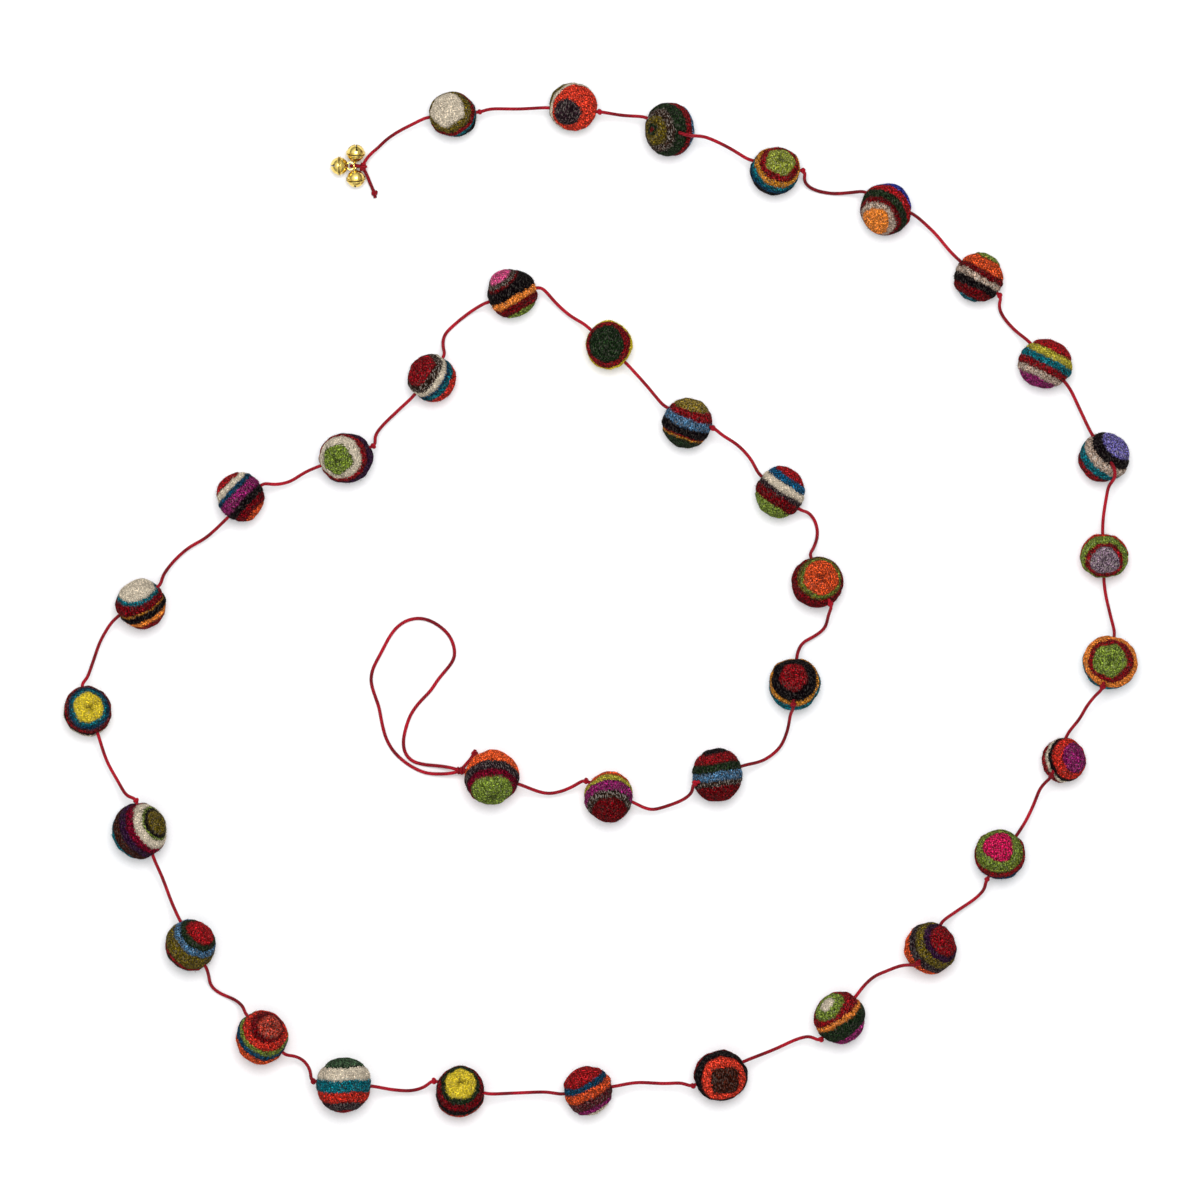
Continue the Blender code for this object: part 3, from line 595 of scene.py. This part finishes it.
def brass_material():
    """Polished brass with light handling marks and a dull bloom in places."""
    graph = material_graph("polished_brass")
    position = graph.object_position()
    bloom = graph.noise(position, 300, 3, 0.6)
    marks = graph.noise(graph.stretched(position, (0.3, 0.7, 0.2), (5200, 700, 5200)), 1, 2)
    colour = graph.mix(graph.ramp(bloom, [(0.35, 0), (0.7, 1)]), (0.88, 0.69, 0.20), (0.70, 0.48, 0.10))
    dents = graph.noise(position, 230, 1)
    rough = graph.maths("ADD", graph.maths("MULTIPLY", bloom, 0.12), graph.maths("MULTIPLY", marks, 0.06))
    graph.surface(
        Base_Color=colour, Metallic=1.0, Roughness=graph.maths("ADD", rough, 0.12),
        Normal=graph.bump(graph.maths("ADD", graph.maths("MULTIPLY", marks, 0.02), dents), 0.0003),
    )
    return graph.owner


def painted_bell_shade_material():
    """Painted shade for the inside of a bell and the groove of its flange: near-black brass, mottled."""
    graph = material_graph("painted_bell_shade")
    mottle = graph.noise(graph.object_position(), 600, 3, 0.6)
    patches = graph.ramp(mottle, [(0.35, 0), (0.65, 1)])
    colour = graph.mix(patches, (0.10, 0.055, 0.012), (0.04, 0.02, 0.006))
    graph.surface(Base_Color=colour, Metallic=0.6, Roughness=graph.ramp(mottle, [(0.3, 0.5), (0.7, 0.75)]))
    return graph.owner


def steel_material():
    graph = material_graph("steel_pea")
    haze = graph.ramp(graph.noise(graph.object_position(), 900, 3), [(0.3, 0.2), (0.7, 0.45)])
    graph.surface(Base_Color=(0.45, 0.45, 0.46), Metallic=1.0, Roughness=haze)
    return graph.owner


# Where the felt and the cord run


def direction(angle, lift):
    around = math.radians(angle)
    above = math.radians(lift)
    return Vector((math.cos(around) * math.cos(above), math.sin(around) * math.cos(above), math.sin(above)))


def felt_radii(ball, ways):
    """How far a ball's felt lies from its middle along each unit vector of an array."""
    halves = np.array([ball.wide / 2, ball.tall / 2, BALL_CROWN * (ball.wide + ball.tall) / 4])
    flat = np.sqrt(((ways / halves) ** 2).sum(axis=1))
    phase = (ball.x + ball.y) * np.array([1, 2, 3])
    lumps = np.sin(3 * ways + phase).sum(axis=1)
    return (1 + LUMPS * lumps / 3) / flat


def felt_radius(ball, way):
    return float(felt_radii(ball, np.array([way]))[0])


def felt_point(ball, angle, lift):
    way = direction(angle, lift)
    return way * felt_radius(ball, way)


def ball_centre(ball):
    return Vector((ball.x, ball.y, felt_radius(ball, (0, 0, -1)) - BALL_SINK))


def ball_route(number, ball):
    """The cord's points before, in and after a ball, and the place of its stop knot or None."""
    centre = ball_centre(ball)
    enters = felt_point(ball, ball.enter, 0)
    leaves = felt_point(ball, ball.leave, ball.lift)
    axis = (leaves - enters).normalized()
    points = [centre + enters - axis * PLAIN_OFFSET, centre + enters, centre + leaves]
    offsets = KNOT_OFFSETS if ball.knot > 1 else (PLAIN_OFFSET,)
    points += [centre + leaves + axis * offset for offset in offsets]
    knot = (points[4], axis, ball.knot) if ball.knot > 1 else None
    if ball.lift > HIGH_EXIT:
        steps = round(ball.lift / RIM_STEP)
        for step in range(1, steps):
            share = step / steps
            angle = ball.leave + (RIM_ANGLES[number] - ball.leave) * share
            way = direction(angle, ball.lift * (1 - share))
            points.append(centre + way * (felt_radius(ball, way) + CORD_RADIUS + TOUCH_GAP + 0.1))
    return points, knot


def run_lengths(points):
    run = [0.0]
    for before, after in zip(points, points[1:]):
        run.append(run[-1] + (after - before).length)
    return run


def sagging(start, end, stretch):
    """A stretch's points between two ends, hanging down between them or lying on the table."""
    plan = [start.to_2d(), *(Vector(point) for point in stretch.points), end.to_2d()]
    run = run_lengths(plan)
    points = []
    for point, along in zip(plan[1:-1], run[1:-1]):
        share = along / run[-1]
        height = start.z + (end.z - start.z) * share - stretch.dip * 4 * share * (1 - share)
        points.append(Vector((point.x, point.y, max(height, CORD_RADIUS))))
    return points


def loop_route():
    """The hanging loop's points: level on the table, rising to the knot at both ends."""
    plan = [Vector(point) for point in LOOP_POINTS]
    run = run_lengths(plan)
    points = []
    for point, along in zip(plan, run):
        rise = max(0.0, 1 - min(along, run[-1] - along) / LOOP_DROP_LENGTH) ** 2
        points.append(Vector((point.x, point.y, CORD_RADIUS + (LOOP_END_HEIGHT - CORD_RADIUS) * rise)))
    return points


def tie_point(angle):
    around = math.radians(angle)
    return TIE_CENTRE + Vector((math.cos(around), 0, math.sin(around))) * TIE_RADIUS


def whole_route():
    """The one cord's points from the bells' tail to the loop's tail, and its stop knots."""
    points = [Vector(point) for point in reversed(BELL_TAIL)] + [BELL_KNOT]
    points += [tie_point(angle) for angle in range(round(TIE_OPEN), 360 - round(TIE_OPEN) + 1, 17)]
    points += [BELL_KNOT + Vector((0.3, 0.4, 0)), CORD_START]
    knots = []
    for number, (ball, stretch) in enumerate(zip(BALLS, STRETCHES), start=1):
        through, knot = ball_route(number, ball)
        points += sagging(points[-1], through[0], stretch) + through
        if knot:
            knots.append(knot)
    points += [CORD_END, LOOP_KNOT] + loop_route() + [LOOP_KNOT + Vector((0.6, 0.3, 0.2))]
    points += [Vector(point) for point in LOOP_TAIL]
    return points, knots


def smooth_path(points, step):
    """The centripetal curve through points, with a point every step or so, its corners eased."""
    ends = [2 * points[0] - points[1], *points, 2 * points[-1] - points[-2]]
    made = []
    for around in zip(ends, ends[1:], ends[2:], ends[3:]):
        ticks = [0.0]
        for near, far in zip(around, around[1:]):
            ticks.append(ticks[-1] + math.sqrt(max((far - near).length, 1e-6)))
        parts = max(1, round((around[2] - around[1]).length / step))
        for part in range(parts):
            here = ticks[1] + (ticks[2] - ticks[1]) * part / parts
            first = [
                around[low].lerp(around[low + 1], (here - ticks[low]) / (ticks[low + 1] - ticks[low]))
                for low in range(3)
            ]
            second = [
                first[low].lerp(first[low + 1], (here - ticks[low]) / (ticks[low + 2] - ticks[low]))
                for low in range(2)
            ]
            made.append(second[0].lerp(second[1], part / parts))
    made.append(points[-1])
    return ease(np.array(made), EASE_ROUNDS)


def ease(path, rounds):
    """Rounds a path's corners by moving each point halfway to the middle of its neighbours."""
    for _ in range(rounds):
        path[1:-1] = path[1:-1] * 0.5 + (path[:-2] + path[2:]) * 0.25
    path[:, 2] = np.maximum(path[:, 2], CORD_RADIUS)
    return path


# Meshes


def tube(path, radius, sides, closed=False):
    """A round tube's vertices and faces along a path, with no twist."""
    path = np.asarray(path, dtype=float)
    ahead = np.roll(path, -1, axis=0) - np.roll(path, 1, axis=0)
    if not closed:
        ahead[0] = path[1] - path[0]
        ahead[-1] = path[-1] - path[-2]
    ahead /= np.linalg.norm(ahead, axis=1)[:, None]
    side = np.cross(ahead[0], (0.0, 0.0, 1.0))
    if np.linalg.norm(side) < 0.1:
        side = np.cross(ahead[0], (0.0, 1.0, 0.0))
    turns = np.arange(sides) * 2 * math.pi / sides
    verts = []
    for point, way in zip(path, ahead):
        side = side - way * np.dot(side, way)
        side /= np.linalg.norm(side)
        up = np.cross(way, side)
        verts.append(point + radius * (np.outer(np.cos(turns), side) + np.outer(np.sin(turns), up)))
    rings = len(path)
    faces = []
    for ring in range(rings if closed else rings - 1):
        here = ring * sides
        after = (ring + 1) % rings * sides
        for spoke in range(sides):
            other = (spoke + 1) % sides
            faces.append((here + spoke, here + other, after + other, after + spoke))
    if not closed:
        faces.append(tuple(range(sides))[::-1])
        faces.append(tuple(range((rings - 1) * sides, rings * sides)))
    return np.concatenate(verts), faces


def add_piece(name, verts, faces, material, attributes=(), location=(0, 0, 0)):
    """A smooth-shaded object from millimetres, riding on the one body."""
    mesh = bpy.data.meshes.new(name)
    mesh.from_pydata((np.asarray(verts) * MM).tolist(), [], faces)
    mesh.materials.append(material)
    for key, values in attributes:
        layer = mesh.attributes.new(key, "FLOAT", "POINT")
        layer.data.foreach_set("value", np.asarray(values, dtype=np.float32))
    mesh.shade_smooth()
    piece = bpy.data.objects.new(name, mesh)
    piece.location = Vector(location) * MM
    bpy.context.scene.collection.objects.link(piece)
    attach(piece, "root")
    return piece


def cord_attributes(path, sides):
    steps = np.linalg.norm(np.diff(path, axis=0), axis=1)
    along = np.concatenate([[0.0], np.cumsum(steps)]) * MM
    around = np.arange(sides) / sides
    return [("along", np.repeat(along, sides)), ("around", np.tile(around, len(path)))]


def knot_path(place, axis, size, strand):
    """A tight overhand knot's path, round its own axis."""
    turns = np.arange(48) * 2 * math.pi / 48
    flat = np.stack([
        np.sin(turns) + 2 * np.sin(2 * turns),
        np.cos(turns) - 2 * np.cos(2 * turns),
        -1.6 * np.sin(3 * turns),
    ], axis=1) / 3
    turned = np.array(axis.to_track_quat("Z", "Y").to_matrix())
    return np.array(place) + (flat * (size - strand)) @ turned.T


def wound_path(place, axis, length, radius, turns):
    """A coil's path: wraps of cord that lie side by side along an axis."""
    steps = round(turns * 18)
    share = np.arange(steps + 1) / steps
    swing = share * turns * 2 * math.pi
    ease_in = np.sin(share * math.pi) ** 0.35
    reach = radius * ease_in
    coil = np.stack([reach * np.cos(swing), reach * np.sin(swing), (share - 0.5) * length], axis=1)
    turned = np.array(axis.to_track_quat("Z", "Y").to_matrix())
    return np.array(place) + coil @ turned.T


def add_knot(name, paths, strand, material):
    """One object from several cord paths, each (path, whether it closes)."""
    verts = []
    faces = []
    values = []
    base = 0
    for path, closed in paths:
        path[:, 2] = np.maximum(path[:, 2], strand + 0.02)
        made, joined = tube(path, strand, 8, closed)
        verts.append(made)
        faces += [tuple(corner + base for corner in face) for face in joined]
        values.append(cord_attributes(path, 8))
        base += len(made)
    attributes = [
        (key, np.concatenate([rows[index][1] for rows in values]))
        for index, key in enumerate(("along", "around"))
    ]
    piece = add_piece(name, np.concatenate(verts), faces, material, attributes)
    return piece


def add_cord():
    material = cord_material()
    points, stops = whole_route()
    path = smooth_path(points, CORD_STEP)
    verts, faces = tube(path, CORD_RADIUS, CORD_SIDES)
    cord = add_piece("waxed_cord", verts, faces, material, cord_attributes(path, CORD_SIDES))
    stop_knots = add_knot("stop_knots", [
        (knot_path(place, axis, CORD_RADIUS * width * 1.12, STOP_STRAND), True)
        for place, axis, width in stops
    ], STOP_STRAND, material)
    away = Vector((-1, 0.15, -0.25)).normalized()
    end_knot = add_knot("end_knot", [
        (wound_path(LOOP_KNOT, away, 4.6, 1.3, 3.0), False),
        (knot_path(LOOP_TAIL_KNOT, Vector((0.3, 1, 0)), TAIL_KNOT_SIZE, TAIL_STRAND), True),
    ], END_STRAND, material)
    bells_knot = add_knot("bells_knot", [
        (wound_path(BELL_KNOT, Vector((0.35, 1, 0.1)).normalized(), 3.4, 1.25, 2.4), False),
        (knot_path(BELL_TAIL_KNOT, Vector((0.2, -1, 0)), TAIL_KNOT_SIZE, TAIL_STRAND), True),
    ], END_STRAND, material)
    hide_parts("cord", "hanging_loop", "loop_tail", "bell_tail", "bell_tie")
    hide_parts("loop_knot")
    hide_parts("bell_knot")


# The balls


def unit_ball():
    """Unit vectors spread evenly over a ball, and the faces between them."""
    bm = bmesh.new()
    bmesh.ops.create_cube(bm, size=2)
    bmesh.ops.subdivide_edges(bm, edges=bm.edges[:], cuts=BALL_CUTS, use_grid_fill=True)
    grid = np.array([vert.co for vert in bm.verts])
    faces = [tuple(vert.index for vert in face.verts) for face in bm.faces]
    bm.free()
    spread = np.tan(grid * math.pi / 4)
    return spread / np.linalg.norm(spread, axis=1)[:, None], faces


def waves(rng, ways, steps):
    """Seeded slow waves over a ball in three columns, from (pace, height) steps."""
    total = np.zeros_like(ways)
    for pace, height in steps:
        turns = rng.normal(0, 1, (3, 3))
        turns /= np.linalg.norm(turns, axis=1)[:, None]
        total += height * np.sin(pace * ways @ turns.T + rng.uniform(0, 2 * math.pi, 3))
    return total


def layer_distances(number, ways):
    """How far each way lies past each layer's edge, and its distance and turn from the innermost middle."""
    past = []
    middle = None
    count, reach, first = LOBES.get(number, (0, 0, 0))
    for index, row in enumerate(LAYERS[number][:-1]):
        if len(row) > 2:
            middle = np.array(direction(row[2], 90 - row[3]))
        off = np.arccos(np.clip(ways @ middle, -1, 1))
        if index == 0:
            core = off
            around = np.arctan2(ways[:, 1] - middle[1], ways[:, 0] - middle[0])
            lobes = math.radians(reach) * np.cos(count * (around - math.radians(first)))
        past.append(off - math.radians(row[1]) - lobes * 0.4 ** index)
    return past, core, around


def layer_field(past, core):
    """Which layer each way lies in, rising evenly across it, and how many layers a degree is."""
    last = len(past)
    field = last + np.clip(past[-1] / LAST_SPAN, 0, 0.95)
    width = np.full(len(core), LAST_SPAN)
    for index in range(last - 1, -1, -1):
        inside = past[index] <= 0
        from_inner = np.maximum(past[index - 1], 0) if index else core
        span = from_inner - past[index] + 1e-6
        field = np.where(inside, index + from_inner / span, field)
        width = np.where(inside, span, width)
    return field, 1 / np.degrees(np.maximum(width, math.radians(5)))


def felt_relief(number, ball, ways, past, core, around):
    """How far the felt stands proud of the plain ball, and the painted shade that darkens it where it is
    pinched in: in the creases between layers, in its pit and in the cord's holes.
    """
    relief = np.zeros(len(ways))
    hollow_shade = np.zeros(len(ways))
    crease = math.radians(CREASE_WIDTH)
    for index, off in enumerate(past):
        pinch = np.exp(-((off / crease) ** 2))
        hollow_shade = np.maximum(hollow_shade, 0.5 * pinch)
        relief -= CREASE_DEPTH * pinch
        relief += LAYER_STEPS[index % 2] / (1 + np.exp(np.clip(off / crease * 2, -30, 30)))
    pit = 1.0 if number in PITTED else 0.3
    spokes = core * (1 + 0.35 * np.sin(3 * around + ball.x))
    relief -= PIT_DEPTH * pit * np.exp(-((core / math.radians(PIT_WIDTH)) ** 2))
    hollow_shade = np.maximum(hollow_shade, 1.5 * pit * pit * np.exp(-((spokes / math.radians(PIT_WIDTH + 1)) ** 2)))
    for angle, lift in ((ball.enter, 0), (ball.leave, ball.lift)):
        hole = np.arccos(np.clip(ways @ np.array(direction(angle, lift)), -1, 1))
        relief -= HOLE_DEPTH * np.exp(-((hole / math.radians(HOLE_WIDTH)) ** 2))
        hollow_shade = np.maximum(hollow_shade, np.exp(-((hole / math.radians(HOLE_WIDTH + 1)) ** 2)))
    return relief, hollow_shade


def fuzz(rng, points, outward, fields):
    """Stray wool fibres as thin bent ribbons, each with its root's layer."""
    roots = rng.integers(0, len(points), STRANDS)
    root = points[roots] + rng.normal(0, 0.22, (STRANDS, 3))
    out = outward[roots]
    lean = np.cross(out, rng.normal(0, 1, (STRANDS, 3)))
    lean /= np.linalg.norm(lean, axis=1)[:, None]
    across = np.cross(out, lean)
    length = rng.uniform(*STRAND_LENGTHS, (STRANDS, 1))
    curl = rng.uniform(-0.5, 0.5, (STRANDS, 1))
    middle = root + out * length * 0.30 + lean * length * 0.35
    rise = rng.uniform(0.1, 0.55, (STRANDS, 1))
    tip = root + out * length * rise + lean * length + across * length * curl
    half = across * STRAND_WIDTH / 2
    foot = root - out * 0.1
    verts = np.stack([foot - half, foot + half, middle - half * 0.8, middle + half * 0.8, tip], axis=1)
    starts = np.arange(STRANDS) * 5
    quads = np.stack([starts, starts + 1, starts + 3, starts + 2], axis=1)
    ends = np.stack([starts + 2, starts + 3, starts + 4], axis=1)
    faces = [tuple(row) for row in quads.tolist()] + [tuple(row) for row in ends.tolist()]
    return verts.reshape(-1, 3), faces, [np.repeat(field[roots], 5) for field in fields]


def add_ball(number, ball, ways, faces):
    name = f"ball_{number:02d}"
    rng = np.random.default_rng(SEED + number)
    centre = ball_centre(ball)
    strayed = ways + waves(rng, ways, WANDER)
    strayed /= np.linalg.norm(strayed, axis=1)[:, None]
    past, core, around = layer_distances(number, strayed)
    relief, hollow_shade = felt_relief(number, ball, ways, past, core, around)
    relief += waves(rng, ways, HILLS).sum(axis=1)
    points = ways * (felt_radii(ball, ways) + relief)[:, None]
    field, grain = layer_field(past, core)
    hairs, strips, hair_values = fuzz(rng, points, ways, (field, grain, hollow_shade))
    offset = len(points)
    verts = np.concatenate([points, hairs])
    verts[:, 2] = np.maximum(verts[:, 2], -centre.z)
    strips = [tuple(corner + offset for corner in strip) for strip in strips]
    # The third attribute is the painted shade in the creases, the pit and the cord's holes
    attributes = [
        (key, np.concatenate([skin, hair]))
        for key, skin, hair in zip(("layer", "grain", "hollow_shade"), (field, grain, hollow_shade), hair_values)
    ]
    material = felt_material(f"{name}_felt", LAYERS[number])
    piece = add_piece(f"{name}_felt", verts, faces + strips, material, attributes, centre)
    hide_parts(name)


# The bells


def bell_shell(bm):
    """A hollow bell's closed wall: the outer outline with its flange, then back along the inside."""
    polar = [math.radians(angle) for angle in range(6, 86, 8)]
    outer = [(BELL_RADIUS * math.sin(angle), BELL_RADIUS * math.cos(angle)) for angle in polar]
    edge = [
        (BELL_RADIUS, 0.85), (BELL_RADIUS - 0.08, 0.75), (FLANGE_RADIUS - 0.08, 0.70), (FLANGE_RADIUS, 0.6),
        (FLANGE_RADIUS, 0.32), (FLANGE_RADIUS - GROOVE_DEPTH, 0.24),
    ]
    bead = edge + [(radius, -height) for radius, height in reversed(edge)]
    under = [(radius, -height) for radius, height in reversed(outer)]
    inside = 1 - BELL_WALL / BELL_RADIUS
    turns = [2 * math.pi * step / BELL_SIDES for step in range(BELL_SIDES)]
    for scale, rows, flip in ((1, outer + bead + under, False), (inside, outer + under, True)):
        rings = []
        for radius, height in rows:
            ring = [(radius * math.cos(turn), radius * math.sin(turn), height) for turn in turns]
            rings.append([bm.verts.new(Vector(point) * scale) for point in ring])
        poles = [bm.verts.new((0, 0, BELL_RADIUS * scale)), bm.verts.new((0, 0, -BELL_RADIUS * scale))]
        for step in range(BELL_SIDES):
            after = (step + 1) % BELL_SIDES
            quads = [(one[step], one[after], two[after], two[step]) for one, two in zip(rings, rings[1:])]
            quads.append((poles[0], rings[0][after], rings[0][step]))
            quads.append((poles[1], rings[-1][step], rings[-1][after]))
            for quad in quads:
                bm.faces.new(quad if flip else quad[::-1])


def slot_cutter(bm):
    """Two crossed slots across the bell's tip, each with a round hole at its ends."""
    for turn in (0, 90):
        spin = Matrix.Rotation(math.radians(turn), 4, "Z")
        block = bmesh.ops.create_cube(bm, size=1)["verts"]
        bmesh.ops.scale(bm, vec=(7.2, SLOT_WIDTH + turn * 0.0001, 5), verts=block)
        bmesh.ops.translate(bm, vec=(0, 0, -4.4), verts=block)
        bmesh.ops.transform(bm, matrix=spin, verts=block)
        for side in (-1, 1):
            drop = Matrix.Translation((0, 0, -4.3))
            place = Matrix.Rotation(side * math.radians(SLOT_END_TURN), 4, "Y") @ drop
            drill = bmesh.ops.create_cone(
                bm, cap_ends=True, segments=20, radius1=SLOT_END_RADIUS, radius2=SLOT_END_RADIUS, depth=2,
            )["verts"]
            bmesh.ops.transform(bm, matrix=spin @ place, verts=drill)


def pea_ball(bm):
    bmesh.ops.create_icosphere(bm, subdivisions=3, radius=PEA_RADIUS * MM)


def mesh_from(name, build):
    bm = bmesh.new()
    build(bm)
    mesh = bpy.data.meshes.new(name)
    bm.to_mesh(mesh)
    bm.free()
    item = bpy.data.objects.new(name, mesh)
    bpy.context.scene.collection.objects.link(item)
    return item


def slotted_bell():
    """The pressed bell's mesh, its slots cut with a Boolean, in millimetres."""
    body = mesh_from("bell_body", bell_shell)
    cutter = mesh_from("bell_cutter", slot_cutter)
    cut = body.modifiers.new("slots", "BOOLEAN")
    cut.operation = "DIFFERENCE"
    cut.solver = "EXACT"
    cut.use_self = True
    cut.object = cutter
    edge = body.modifiers.new("edge", "BEVEL")
    edge.width = 0.04
    edge.segments = 2
    edge.limit_method = "ANGLE"
    edge.angle_limit = math.radians(50)
    evaluated = body.evaluated_get(bpy.context.evaluated_depsgraph_get())
    mesh = bpy.data.meshes.new_from_object(evaluated)
    verts = np.array([vert.co for vert in mesh.vertices])
    faces = [tuple(face.vertices) for face in mesh.polygons]
    for item in (body, cutter):
        bpy.data.objects.remove(item)
    return verts, faces


def bell_place(bell):
    """The turn and the middle of a bell, with the tie in its eyelet and its crown towards the tie."""
    held = tie_point(bell.angle)
    outward = (held - TIE_CENTRE).normalized()
    slope = 0.0
    if abs(bell.way.dot(outward)) < 0.5:
        slope = (held.z - BELL_CENTRE_HEIGHT) / (bell.reach * outward.z)
    lean = bell.way * math.sqrt(1 - slope * slope) - outward * slope
    centre = held + lean * bell.reach
    centre.z = max(centre.z, BELL_CENTRE_HEIGHT)
    ring_normal = outward.cross(Vector((0, 1, 0))).normalized()
    sideways = ring_normal.cross(-lean).normalized()
    return np.array(Matrix((sideways, ring_normal, -lean)).transposed()), centre


def add_bell(bell, body, material, inner_material, pea_material):
    turn, centre = bell_place(bell)
    verts, faces = body
    middles = np.array([verts[list(face)].mean(axis=0) for face in faces])
    radii = np.linalg.norm(middles, axis=1)
    # Painted shade: the faces inside the bell and in the flange's groove take the near-black material
    groove = (np.abs(middles[:, 2]) < 0.1) & (radii < FLANGE_RADIUS - 0.2)
    inner = (radii < BELL_RADIUS - BELL_WALL / 2) | groove
    half = (bell.reach + EYELET_BEYOND - EYELET_ROOT) / 2
    swing = np.arange(40) * 2 * math.pi / 40
    up = EYELET_ROOT + half + half * np.sin(swing)
    eyelet = np.stack([EYELET_HALF_WIDTH * np.cos(swing), 0 * swing, up], axis=1)
    ring, ring_faces = tube(eyelet, EYELET_WIRE, 10, closed=True)
    offset = len(verts)
    joined = np.concatenate([verts, ring])
    faces = faces + [tuple(corner + offset for corner in face) for face in ring_faces]
    piece = add_piece(f"{bell.name}_shell", joined @ turn.T, faces, material, location=centre)
    piece.data.set_sharp_from_angle(angle=math.radians(35))
    piece.data.materials.append(inner_material)
    for face, dull in zip(piece.data.polygons, inner):
        face.material_index = int(dull)
    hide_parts(bell.name)
    pea = mesh_from(f"{bell.name}_pea", pea_ball)
    pea.location = (centre + PEA_PLACE) * MM
    pea.data.materials.append(pea_material)
    pea.data.shade_smooth()
    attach(pea, "root")


def main():
    scene = bpy.context.scene
    scene.view_settings.view_transform = "Standard"
    scene.view_settings.look = "None"
    add_camera()
    add_cord()
    add_floor()
    add_world()
    add_light("key", KEY_PLACE, KEY_SIZE, KEY_POWER)
    ways, faces = unit_ball()
    for number, ball in enumerate(BALLS, start=1):
        add_ball(number, ball, ways, faces)
    brass = brass_material()
    painted_bell_shade = painted_bell_shade_material()
    steel = steel_material()
    body = slotted_bell()
    for bell in BELLS:
        add_bell(bell, body, brass, painted_bell_shade, steel)


main()
